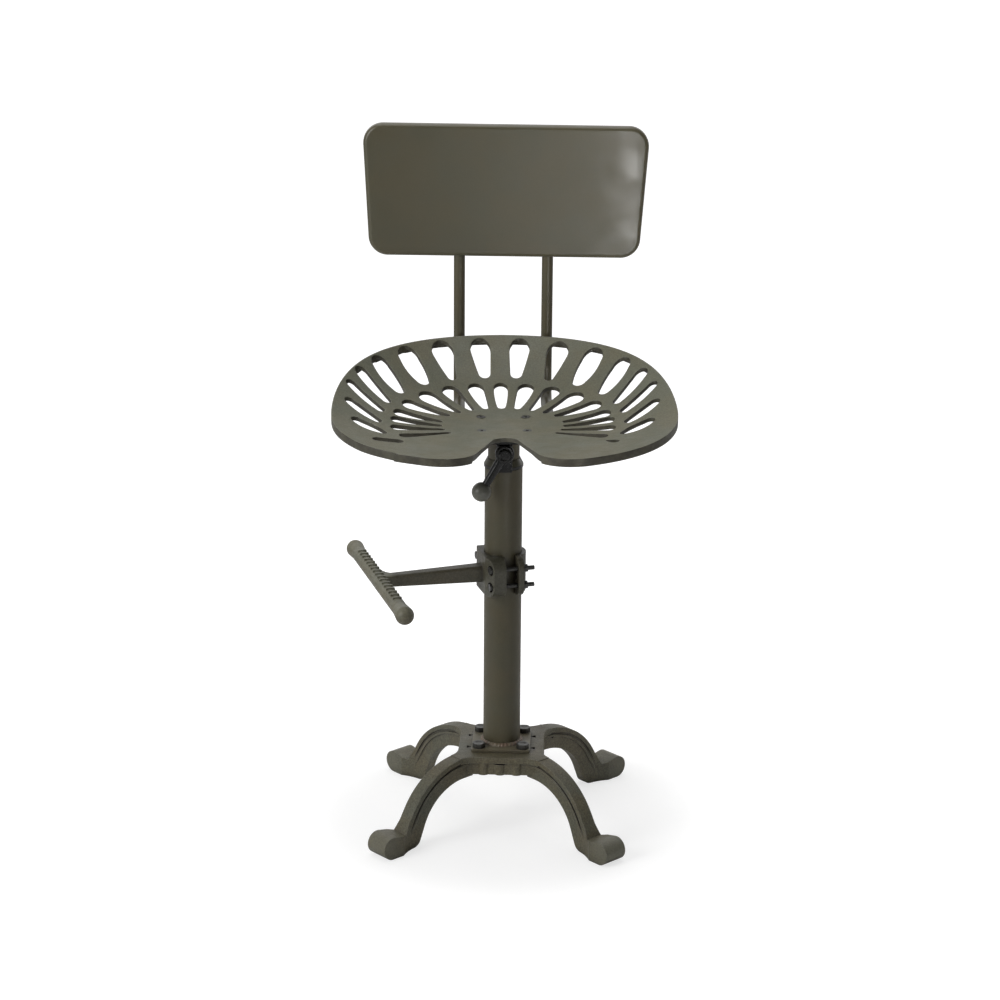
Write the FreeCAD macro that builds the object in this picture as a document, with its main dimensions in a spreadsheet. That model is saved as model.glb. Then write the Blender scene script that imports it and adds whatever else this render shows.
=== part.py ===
import FreeCAD, Part
import math
import os
import re

import Sketcher
from FreeCAD import Placement, Rotation, Vector

# Tractor seat stool: a cast iron four-legged base with a tubular column, a stem that slides in the
# column and is locked by a small ball lever, a perforated cast seat with a backrest that swivels on
# the stem, and a footrest that is clamped round the column.
# Millimetres. The origin is on the floor under the column's axis, +Z is up and the front of the
# seat faces -Y. Angles are in degrees.

# Every driving size of the stool: name, value, meaning.
SIZES = [
    # Column and the base plate it is welded to
    ("column_diameter", 50.8, "outside of the column tube"),
    ("column_wall", 3.0, "wall of the column tube"),
    ("column_top", 504.0, "height of the tube's upper end"),
    ("plate_side", 80.0, "square plate under the column"),
    ("plate_thickness", 4.0, "thickness of that plate"),
    ("plate_corner", 3.0, "corner radius of that plate"),
    ("weld_leg", 4.0, "leg of the weld round the column's foot"),
    ("weld_round", 5.6, "radius of its hollow face"),
    ("bolt_spacing", 60.0, "square of the four base bolts"),
    ("bolt_diameter", 10.0, "base bolt"),
    ("bolt_flats", 16.0, "across flats of its head and nut"),
    ("bolt_head", 6.4, "height of its head"),
    ("bolt_dish", 0.8, "depth of the dish in its head"),
    ("dish_foot", 0.2, "radius of a dish at its foot, as a share of the head's flats"),
    ("dish_rim", 0.38, "the same at its rim"),
    ("hex_corner", 0.04, "corners turned off a hexagon, as a share of its flats"),
    ("bolt_nut", 8.0, "height of its nut"),
    ("bolt_washer", 2.0, "thickness of its washer"),
    ("bolt_washer_diameter", 20.0, "outside of its washer"),
    ("bolt_tail", 3.0, "thread that stands out of a nut"),
    ("hole_clearance", 0.5, "radial room of a bolt in its hole"),
    ("thread_gap", 0.05, "radial gap between a thread and its nut"),
    ("overlap", 1.0, "how far a cut or a joined feature runs past the face it meets"),
    # Base casting
    ("base_turn", -3.8, "turn of the base against the seat"),
    ("hub_top", 107.0, "height of the hub's flat top"),
    ("hub_thickness", 9.0, "thickness of the hub's slab"),
    ("hub_half", 58.0, "half of the square hub's side"),
    ("hub_blend", 30.0, "plan radius between hub and leg"),
    ("skirt_inset", 2.5, "how far the skirt stands back from the slab"),
    ("skirt_wall", 5.5, "wall of the skirt"),
    ("skirt_depth", 17.0, "height of the skirt below the slab"),
    ("ridge_radius", 8.5, "upright ridges on the skirt"),
    ("ridge_sink", 5.5, "their middles behind the skirt's face"),
    ("ridge_pitch", 22.5, "spacing of those ridges"),
    ("slit_length", 15.0, "slit above the middle ridges"),
    ("slit_height", 2.0, "height of the slit"),
    ("slit_depth", 4.0, "depth of the slit"),
    ("pocket_side", 8.0, "three-cornered pocket beside the plate"),
    ("pocket_across", 42.5, "pockets from the middle, sideways"),
    ("pocket_along", 21.0, "pockets from the middle, front to back"),
    ("leg_root", 60.0, "where a leg's web starts inside the hub"),
    ("leg_drop", 0.3, "leg's crest below the hub's top"),
    ("leg_arc_centre", 75.5, "radius at which the leg starts to curve down"),
    ("leg_outer_radius", 107.0, "outer arc of the leg"),
    ("leg_depth", 30.5, "depth of the leg's section"),
    ("leg_outer_end", 30.5, "angle at which the outer arc runs straight"),
    ("leg_inner_end", 22.0, "angle at which the inner arc runs straight"),
    ("leg_outer_run", 33.0, "straight length down to the toe"),
    ("web_width", 15.0, "leg's web"),
    ("flange_width", 20.0, "leg's top flange"),
    ("flange_thickness", 6.0, "thickness of that flange"),
    ("bead_width", 19.0, "moulding under the flange"),
    ("bead_depth", 10.0, "depth at which the moulding starts"),
    ("bead_thickness", 3.0, "height of the moulding"),
    ("toe_centre", 211.0, "radius to the middle of the rolled toe"),
    ("toe_radius", 15.5, "radius of the rolled toe"),
    ("toe_crown", 102.0, "angle at which the toe's top meets its roll"),
    ("toe_width", 35.0, "width of the toe"),
    ("heel_radius", 13.0, "radius behind the sole"),
    ("flare_start", 158.0, "where the web starts to widen into the toe"),
    ("flare_end", 193.0, "where it is as wide as the toe"),
    ("cast_hole_diameter", 3.6, "small cored hole in one leg"),
    ("cast_hole_reach", 90.0, "its radius from the axis"),
    ("cast_hole_height", 91.5, "its height"),
    # Collar in the column's upper end
    ("collar_diameter", 53.0, "ring that sits on the tube"),
    ("collar_groove", 1.2, "groove between tube and ring"),
    ("collar_groove_depth", 0.6, "depth of that groove"),
    ("collar_height", 3.3, "height of the ring"),
    ("collar_taper", 8.5, "height of the taper above the ring"),
    ("collar_lip", 0.8, "wall at the taper's upper end"),
    ("collar_spigot", 25.0, "length of its neck inside the tube"),
    ("fit_gap", 0.05, "radial gap of a part pressed or bolted in place"),
    ("slide_gap", 0.1, "radial gap of a part that slides or turns"),
    # Lock block, screw and lever
    ("block_width", 21.0, "width of the lock block"),
    ("block_front", 38.0, "front face of the block, from the axis"),
    ("block_height", 38.0, "height of the block"),
    ("block_lift", 2.0, "foot of the block above the tube's end"),
    ("block_gap", 0.4, "gap between the block and what it curves round"),
    ("block_round", 2.0, "rounding of its front edges"),
    ("lever_height", 534.5, "height of the lock screw's axis"),
    ("lock_screw_diameter", 10.0, "lock screw"),
    ("lock_gap", 0.3, "gap between its inner end and the stem"),
    ("hub_gap", 0.4, "gap between the lever's hub and the block"),
    ("lever_hub_diameter", 25.0, "lever's hub"),
    ("lever_hub_length", 13.4, "length of that hub"),
    ("lever_hub_round", 2.5, "rounding of the hub's front edge"),
    ("lever_lean", 29.8, "lean of the arm from hanging straight down"),
    ("lever_reach", 60.8, "hub's axis to the middle of the ball"),
    ("lever_root", 6.2, "arm's radius at the hub"),
    ("lever_tip", 5.3, "arm's radius at the ball"),
    ("lever_pin", 3.5, "radius of the arm's pin inside the ball"),
    ("lever_pin_length", 9.0, "length of that pin"),
    ("knob_diameter", 26.2, "ball on the lever"),
    ("knob_flat", 1.0, "depth of the ball's flat at the arm"),
    ("cap_diameter", 17.0, "cap on the lever's hub"),
    ("cap_top_diameter", 12.0, "its front face"),
    ("cap_height", 2.5, "height of that cap"),
    ("grub_diameter", 5.0, "two small screws in the block's foot"),
    ("grub_spread", 12.0, "distance between them"),
    ("grub_height", 5.5, "their height above the block's foot"),
    # Stem that slides in the column, and the swivel in it
    ("stem_diameter", 42.4, "outside of the stem tube"),
    ("stem_wall", 2.6, "wall of the stem tube"),
    ("stem_foot", 290.0, "height of the stem's lower end"),
    ("stem_top", 543.0, "height of the stem's upper end"),
    ("guide_height", 20.0, "guide ring at the stem's foot"),
    ("guide_lip", 3.0, "lip of the ring under the tube"),
    ("bush_length", 40.0, "bush inside the stem's upper end"),
    ("bush_flange", 3.0, "thickness of the bush's flange"),
    ("spindle_diameter", 20.0, "swivel spindle"),
    ("spindle_thread", 16.0, "its threaded end"),
    ("spindle_thread_length", 20.0, "length of that thread"),
    ("spindle_chamfer", 1.0, "chamfer at its end"),
    ("spindle_overlap", 0.5, "spindle's shoulder below the bush"),
    ("spindle_washer_diameter", 34.0, "washer under the bush"),
    ("spindle_washer_thickness", 3.0, "thickness of that washer"),
    ("spindle_nut_flats", 24.0, "across flats of the spindle's nut"),
    ("spindle_nut_height", 13.0, "height of that nut"),
    ("swivel_gap", 0.3, "gap over the bush that lets the seat turn"),
    # Seat bracket
    ("boss_diameter", 40.0, "boss under the bracket"),
    ("boss_height", 3.2, "height of that boss"),
    ("bracket_width", 140.0, "bracket under the seat, sideways"),
    ("bracket_length", 108.0, "bracket, front to back"),
    ("bracket_thickness", 6.0, "thickness of the bracket"),
    ("bracket_corner", 10.0, "corner radius of the bracket"),
    ("screw_spacing", 60.0, "square of the four seat screws"),
    ("screw_diameter", 6.0, "seat screw"),
    ("screw_head_diameter", 12.5, "its countersunk head"),
    ("screw_head_height", 3.3, "height of that head"),
    ("screw_recess", 1.6, "depth of the driver's recess"),
    ("screw_recess_diameter", 4.2, "width of that recess"),
    ("screw_short", 0.5, "end of the screw above the bracket's underside"),
    # Seat: plan of the pan, seen from above
    ("seat_origin", -14.0, "middle of the pan's slots, from the axis"),
    ("slots_across", -2.0, "middle of the slots, sideways"),
    ("seat_half_width", 228.2, "half width of the pan"),
    ("seat_widest", -25.0, "widest place, from the slots' middle"),
    ("seat_front", 158.0, "widest place to the front"),
    ("seat_rear", 230.0, "widest place to the rear"),
    ("seat_fullness", 2.14, "power of the plan's rounded outline, at the rear"),
    ("seat_front_fullness", 1.98, "the same, at the front"),
    ("notch_radius", 18.2, "arch of the notch in the front"),
    ("notch_depth", 111.0, "middle of that arch from the front"),
    ("notch_flare", 18.0, "angle at which the notch's sides open"),
    ("notch_blend", 50.0, "radius from the notch to the front edge"),
    # Seat: height of the pan's upper surface
    ("pan_middle", 562.0, "height at the slots' middle"),
    ("pan_front_rim", 566.3, "height of the front rim"),
    ("pan_rear_rise", 72.0, "rear rim above the front rim"),
    ("pan_turn", 84.7, "angle from the rear where the rim falls"),
    ("pan_turn_spread", 15.5, "how gently it falls"),
    ("pan_hollow", 2.6, "power of the bowl's section"),
    ("pan_thickness", 5.4, "thickness of the pan"),
    ("rim_thickness", 3.0, "thickness of the turned-down rim"),
    ("rim_depth", 10.5, "depth of the turned-down rim"),
    ("rim_fade", 60.0, "length over which the rim fades out beside the notch"),
    ("rim_fade_half", 44.0, "half width of that stretch"),
    ("rim_gone", 38.0, "where it is gone, from the arch's middle forwards"),
    ("rim_gone_behind", 26.0, "how far it stays away behind the arch's middle"),
    ("pan_boss_diameter", 18.0, "bosses round the seat screws"),
    # Slots, as shares of the rim's distance in their direction
    ("inner_reach", 0.656, "outer ends of the inner slots"),
    ("outer_tip", 0.7, "inner ends of the outer slots"),
    ("outer_reach", 0.983, "outer ends of the outer slots"),
    # Backrest
    ("rod_diameter", 15.6, "back rods"),
    ("rod_spread", 122.0, "distance between the rods"),
    ("rods_across", 2.8, "middle between the rods, sideways"),
    ("rod_start", 26.0, "front ends of the rods under the bracket"),
    ("rod_bend", 30.0, "bend radius of a rod"),
    ("rod_back", 205.0, "upright stretch of the rods, from the axis"),
    ("rod_top", 900.0, "upper ends of the rods"),
    ("back_bottom", 747.2, "lower edge of the backrest"),
    ("back_height", 182.0, "height of the backrest"),
    ("back_across", 0.8, "backrest's middle from that of the rods"),
    ("back_tilt", 0.65, "tilt of the backrest to the right"),
    ("back_top_width", 394.0, "width at the top"),
    ("back_bottom_width", 372.0, "width at the bottom"),
    ("back_corner", 27.0, "corner radius"),
    ("back_sheet", 2.0, "sheet thickness"),
    ("back_edge", 14.0, "depth of the turned-back edge"),
    ("back_edge_round", 5.5, "rounding of that edge"),
    ("rod_slot_gap", 0.5, "room of a rod in the backrest's lower edge"),
    # Footrest
    ("arm_azimuth", 194.6, "direction of the footrest's arm from +X"),
    ("clamp_bottom", 331.0, "lower edge of the clamp"),
    ("clamp_height", 54.0, "height of the clamp"),
    ("clamp_half", 45.0, "half width of the clamp's flanges"),
    ("clamp_round", 17.0, "rounding of the flanges' corners"),
    ("saddle_face", 7.5, "arm-side flange from the axis"),
    ("saddle_edge", 24.6, "its outer face at the flange's end"),
    ("saddle_crown", 31.0, "its outer face in the middle"),
    ("saddle_crown_half", 22.0, "half width of that middle"),
    ("cap_face", 10.3, "cap's flange from the axis"),
    ("cap_flange", 7.1, "thickness of that flange"),
    ("cap_band", 31.0, "outer radius of the cap's band"),
    ("clamp_bolt_diameter", 6.0, "clamp bolt"),
    ("clamp_bolt_flats", 10.0, "across flats of its head and nut"),
    ("clamp_bolt_head", 4.0, "height of its head"),
    ("clamp_bolt_tail", 9.5, "thread that stands out of its nut"),
    ("clamp_bolt_across", 70.0, "bolts' spacing across the column"),
    ("clamp_bolt_up", 23.5, "bolts' spacing in height"),
    ("spot_diameter", 13.5, "flat seats under the bolts' heads"),
    ("spot_depth", 2.5, "depth of those seats at the flange's middle"),
    ("clamp_washer", 1.6, "thickness of the clamp's washers"),
    ("clamp_washer_diameter", 12.0, "outside of those washers"),
    ("clamp_nut", 5.0, "height of the clamp's nuts"),
    ("arm_height", 356.8, "middle of the arm"),
    ("arm_root_width", 21.0, "arm's width at the clamp"),
    ("arm_root_depth", 23.0, "arm's depth at the clamp"),
    ("arm_end_width", 17.0, "arm's width at the bar"),
    ("arm_end_depth", 15.5, "arm's depth at the bar"),
    ("arm_round", 4.0, "rounding of the arm's section"),
    ("bar_reach", 172.0, "footbar from the axis"),
    ("bar_length", 284.0, "footbar between the middles of its round ends"),
    ("bar_diameter", 20.5, "footbar"),
    ("bar_end_diameter", 24.5, "its round ends"),
    ("bar_swell", 24.0, "length over which the bar swells to its end"),
    ("bar_blend_far", 22.0, "web between arm and bar, on the rear side"),
    ("bar_blend_near", 8.0, "web between arm and bar, on the front side"),
    ("bar_web_depth", 12.0, "depth of those webs"),
    ("grip_count", 17, "raised grips across the bar"),
    ("grip_pitch", 12.6, "their spacing"),
    ("grip_length", 3.2, "their length along the bar"),
    ("grip_rise", 1.0, "how far they stand above the bar"),
    ("grip_width", 12.0, "their width across the bar"),
]

doc = FreeCAD.newDocument("tractor_seat_stool")
sheet = doc.addObject("Spreadsheet::Sheet", "sizes")
sheet.Label = "sizes"
for row, (name, value, meaning) in enumerate(SIZES, start=1):
    sheet.set(f"A{row}", name)
    sheet.set(f"B{row}", str(value))
    sheet.set(f"C{row}", meaning)
    sheet.setAlias(f"B{row}", name)
doc.recompute()

SIZE_NAMES = re.compile(r"\b(" + "|".join(name for name, _, _ in SIZES) + r")\b")
subparts = []


# Helpers: formulas

def cells(formula):
    """The formula with each size's name pointing at its cell."""
    return SIZE_NAMES.sub(r"sizes.\1", str(formula))


def number(formula):
    """The formula's value now, as a plain number."""
    result = sheet.evalExpression(cells(formula))
    return float(getattr(result, "Value", result))


def bind(thing, **formulas):
    """Bind the properties of an object; two underscores in a name stand for a dot."""
    for name, formula in formulas.items():
        thing.setExpression(name.replace("__", "."), cells(formula))


def place(thing, x="0", y="0", z="0", axis=Vector(0, 0, 1), turn=None):
    """Put an object at a bound place, turned about an axis by a bound angle."""
    if turn is not None:
        thing.Placement = Placement(Vector(), Rotation(axis, max(1.0, abs(number(turn)))))
        bind(thing, Placement__Rotation__Angle=f"({turn}) * 1deg")
    bind(thing, Placement__Base__x=x, Placement__Base__y=y, Placement__Base__z=z)
    return thing


def finished(thing):
    """Note an object as one of the stool's sub-parts."""
    subparts.append(thing)
    return thing


# Helpers: bodies and sketches

def new_body(label):
    body = doc.addObject("PartDesign::Body", label)
    body.Label = label
    return body


def origin_of(body, role):
    return next(f for f in body.Origin.OriginFeatures if f.Role == role)


def new_sketch(body, name, plane="XY_Plane", lift="0", across="0"):
    """A sketch on one of the body's own planes, lifted along its normal."""
    sketch = body.newObject("Sketcher::SketchObject", name)
    sketch.AttachmentSupport = (origin_of(body, plane), [""])
    sketch.MapMode = "FlatFace"
    bind(sketch, AttachmentOffset__Base__z=lift, AttachmentOffset__Base__x=across)
    return sketch


def pin(sketch, geometry, end, x, y):
    """Tie one end of a line or arc to bound coordinates."""
    for kind, formula in (("DistanceX", x), ("DistanceY", y)):
        constraint = Sketcher.Constraint(kind, geometry, end, number(formula))
        index = sketch.addConstraint(constraint)
        sketch.setExpression(f"Constraints[{index}]", cells(formula))


def draw(sketch, corners):
    """Draw a closed outline.

    A corner is (x, y), or (x, y, radius, turn) where an arc of less than half a turn leads to the
    next corner; turn is 1 to the left and -1 to the right.
    """
    spots = [Vector(number(c[0]), number(c[1]), 0) for c in corners]
    first = sketch.GeometryCount
    heads, tails = [], []
    for k, corner in enumerate(corners):
        here, there = spots[k], spots[(k + 1) % len(spots)]
        geometry = first + k
        if len(corner) == 2:
            sketch.addGeometry(Part.LineSegment(here, there))
            ends = (1, 2)
        else:
            radius, turn = number(corner[2]), corner[3]
            chord = there - here
            rise = math.sqrt(max(radius**2 - chord.Length**2 / 4, 0))
            left = Vector(-chord.y, chord.x, 0).normalize()
            centre = (here + there) * 0.5 + left * rise * turn
            ends = (1, 2) if turn > 0 else (2, 1)
            start, stop = (here, there) if turn > 0 else (there, here)
            low = math.atan2(start.y - centre.y, start.x - centre.x)
            high = math.atan2(stop.y - centre.y, stop.x - centre.x)
            if high < low:
                high += 2 * math.pi
            circle = Part.Circle(centre, Vector(0, 0, 1), radius)
            sketch.addGeometry(Part.ArcOfCircle(circle, low, high))
        heads.append((geometry, ends[0]))
        tails.append((geometry, ends[1]))
    for k, corner in enumerate(corners):
        following = heads[(k + 1) % len(heads)]
        sketch.addConstraint(Sketcher.Constraint("Coincident", *tails[k], *following))
        pin(sketch, *heads[k], corner[0], corner[1])
        if len(corner) > 2:
            limit = Sketcher.Constraint("Radius", first + k, number(corner[2]))
            index = sketch.addConstraint(limit)
            sketch.setExpression(f"Constraints[{index}]", cells(corner[2]))
    return sketch


def draw_circle(sketch, x, y, radius):
    """Draw a circle with bound middle and radius."""
    middle = Vector(number(x), number(y), 0)
    geometry = sketch.addGeometry(Part.Circle(middle, Vector(0, 0, 1), number(radius)))
    pin(sketch, geometry, 3, x, y)
    index = sketch.addConstraint(Sketcher.Constraint("Radius", geometry, number(radius)))
    sketch.setExpression(f"Constraints[{index}]", cells(radius))
    return sketch


def draw_box(sketch, half_width, half_length):
    """Draw a rectangle about the sketch's origin."""
    return draw(sketch, [
        (f"-({half_width})", f"-({half_length})"),
        (half_width, f"-({half_length})"),
        (half_width, half_length),
        (f"-({half_width})", half_length),
    ])


def draw_rounded_box(sketch, half_width, half_length, radius):
    """Draw a rectangle with round corners about the sketch's origin."""
    w, l, r = f"({half_width})", f"({half_length})", f"({radius})"
    return draw(sketch, [
        (f"{r} - {w}", f"-{l}"),
        (f"{w} - {r}", f"-{l}", r, 1),
        (w, f"{r} - {l}"),
        (w, f"{l} - {r}", r, 1),
        (f"{w} - {r}", l),
        (f"{r} - {w}", l, r, 1),
        (f"-{w}", f"{l} - {r}"),
        (f"-{w}", f"{r} - {l}", r, 1),
    ])


def pad(body, sketch, length, name, both_ways=False, backwards=False):
    feature = body.newObject("PartDesign::Pad", name)
    feature.Profile = sketch
    feature.SideType = "Symmetric" if both_ways else "One side"
    feature.Reversed = backwards
    bind(feature, Length=length)
    return feature


def pocket(body, sketch, name, length=None, both_ways=False, backwards=False):
    """Cut the sketch to a bound depth, or through everything where no depth is given."""
    feature = body.newObject("PartDesign::Pocket", name)
    feature.Profile = sketch
    feature.SideType = "Symmetric" if both_ways else "One side"
    feature.Reversed = backwards
    if length is None:
        feature.Type = "ThroughAll"
    else:
        bind(feature, Length=length)
    return feature


def turned(label, corners, z="0"):
    """A body turned about Z from a half section of (radius, height) corners."""
    body = new_body(label)
    sketch = new_sketch(body, f"{label}_section", "XZ_Plane")
    draw(sketch, corners)
    revolution = body.newObject("PartDesign::Revolution", f"{label}_turned")
    revolution.Profile = sketch
    revolution.ReferenceAxis = (sketch, ["V_Axis"])
    revolution.Angle = 360
    place(body, z=z)
    return body


def ring(label, inner, outer, height, z="0"):
    """A plain turned ring."""
    corners = [(inner, "0"), (outer, "0"), (outer, height), (inner, height)]
    return turned(label, corners, z)


def polar_copies(body, features, count, name):
    """Repeat features round the body's Z axis."""
    pattern = body.newObject("PartDesign::PolarPattern", name)
    pattern.Originals = features
    pattern.Axis = (origin_of(body, "Z_Axis"), [""])
    pattern.Angle = 360
    pattern.Occurrences = count
    body.Tip = pattern
    return pattern


def edges_where(feature, test):
    """Names of the edges of a feature whose two ends pass a test."""
    doc.recompute()
    names = []
    for index, edge in enumerate(feature.Shape.Edges, start=1):
        ends = [vertex.Point for vertex in edge.Vertexes]
        if len(ends) == 2 and test(*ends):
            names.append(f"Edge{index}")
    return names


def fillet(body, feature, radius, test, name):
    """Round the edges of a feature that pass a test."""
    rounding = body.newObject("PartDesign::Fillet", name)
    rounding.Base = (feature, edges_where(feature, test))
    bind(rounding, Radius=radius)
    return rounding


# Helpers: plain solids

def cylinder(name, radius, height, **where):
    solid = doc.addObject("Part::Cylinder", name)
    bind(solid, Radius=radius, Height=height)
    return place(solid, **where)


def cone(name, foot, top, height, **where):
    solid = doc.addObject("Part::Cone", name)
    bind(solid, Radius1=foot, Radius2=top, Height=height)
    return place(solid, **where)


def hexagon(name, flats, height, **where):
    solid = doc.addObject("Part::Prism", name)
    solid.Polygon = 6
    bind(solid, Circumradius=f"({flats}) / (2 * cos(30))", Height=height)
    return place(solid, **where)


def joined(name, *pieces):
    whole = doc.addObject("Part::MultiFuse", name)
    whole.Shapes = list(pieces)
    return whole


def cut(name, base, tool):
    whole = doc.addObject("Part::Cut", name)
    whole.Base = base
    whole.Tool = tool
    return whole


def hex_nut(name, flats, height, bore, z):
    """A nut: a hexagon with a bore, its corners turned off at both ends."""
    block = hexagon(f"{name}_block", flats, height, z=z)
    turned_off = doc.addObject("Part::Cylinder", f"{name}_turned_off")
    bind(turned_off, Radius=f"({flats}) / (2 * cos(30)) - hex_corner * ({flats})", Height=height)
    place(turned_off, z=z)
    body = doc.addObject("Part::MultiCommon", f"{name}_body")
    body.Shapes = [block, turned_off]
    return cut(name, body, cylinder(f"{name}_bore", bore, height, z=z))


def hex_bolt(name, flats, head, dish, radius, length):
    """A bolt whose shank hangs down from the underside of its head at the origin."""
    block = hexagon(f"{name}_block", flats, head)
    turned_off = doc.addObject("Part::Cylinder", f"{name}_turned_off")
    bind(turned_off, Radius=f"({flats}) / (2 * cos(30)) - hex_corner * ({flats})", Height=head)
    top = doc.addObject("Part::MultiCommon", f"{name}_head")
    top.Shapes = [block, turned_off]
    hollow = cone(f"{name}_dish", f"dish_foot * ({flats})", f"dish_rim * ({flats})", dish,
                  z=f"({head}) - ({dish})")
    shank = cylinder(f"{name}_shank", radius, length, z=f"-({length})")
    return joined(name, cut(f"{name}_dished", top, hollow), shank)


def group(label, pattern, spots, **where):
    """A set of equal pieces: the pattern's shape at each (x, y) formula pair."""
    doc.recompute()
    copies = []
    for x, y in spots:
        copy = pattern.Shape.copy()
        copy.translate(Vector(number(x), number(y), 0))
        copies.append(copy)
    collection = doc.addObject("Part::Feature", label)
    collection.Label = label
    collection.Shape = Part.makeCompound(copies)
    place(collection, **where)
    return finished(collection)


def square(spacing):
    """The four corners of a square about the origin."""
    half = f"({spacing}) / 2"
    return [(f"{a}{half}", f"{b}{half}") for a in ("", "-") for b in ("", "-")]


# Base casting, in its own axes: the legs run along +X, +Y, -X and -Y

ARC_HEIGHT = "(hub_top - leg_drop - leg_outer_radius)"
INNER_RADIUS = "(leg_outer_radius - leg_depth)"
HUB_BOTTOM = "(hub_top - hub_thickness)"


def on_leg_arc(radius, angle):
    """A point on one of the leg's concentric arcs."""
    x = f"(leg_arc_centre + ({radius}) * cos({angle}))"
    z = f"({ARC_HEIGHT} + ({radius}) * sin({angle}))"
    return x, z


def down_the_leg(radius, angle, run):
    """A point straight on from the end of such an arc."""
    x, z = on_leg_arc(radius, angle)
    return f"({x} + ({run}) * sin({angle}))", f"({z} - ({run}) * cos({angle}))"


def leg_band(body, name, start, stop, width, run):
    """A band along the leg's back between two depths below its outer line."""
    outer, inner = f"(leg_outer_radius - {start})", f"(leg_outer_radius - {stop})"
    sketch = new_sketch(body, f"{name}_outline", "XZ_Plane")
    draw(sketch, [
        ("leg_root", f"{ARC_HEIGHT} + {outer}"),
        (*on_leg_arc(outer, "90"), outer, -1),
        on_leg_arc(outer, "leg_outer_end"),
        down_the_leg(outer, "leg_outer_end", run),
        down_the_leg(inner, "leg_outer_end", run),
        (*on_leg_arc(inner, "leg_outer_end"), inner, 1),
        on_leg_arc(inner, "90"),
        ("leg_root", f"{ARC_HEIGHT} + {inner}"),
    ])
    return pad(body, sketch, width, name, both_ways=True)


def quarter_turns(points):
    """A list of corners, repeated in each quarter turn about the origin."""
    whole = []
    for quarter in range(4):
        for x, y, *arc in points:
            turned_x, turned_y = x, y
            for _ in range(quarter):
                turned_x, turned_y = f"-({turned_y})", turned_x
            whole.append((turned_x, turned_y, *arc))
    return whole


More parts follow.
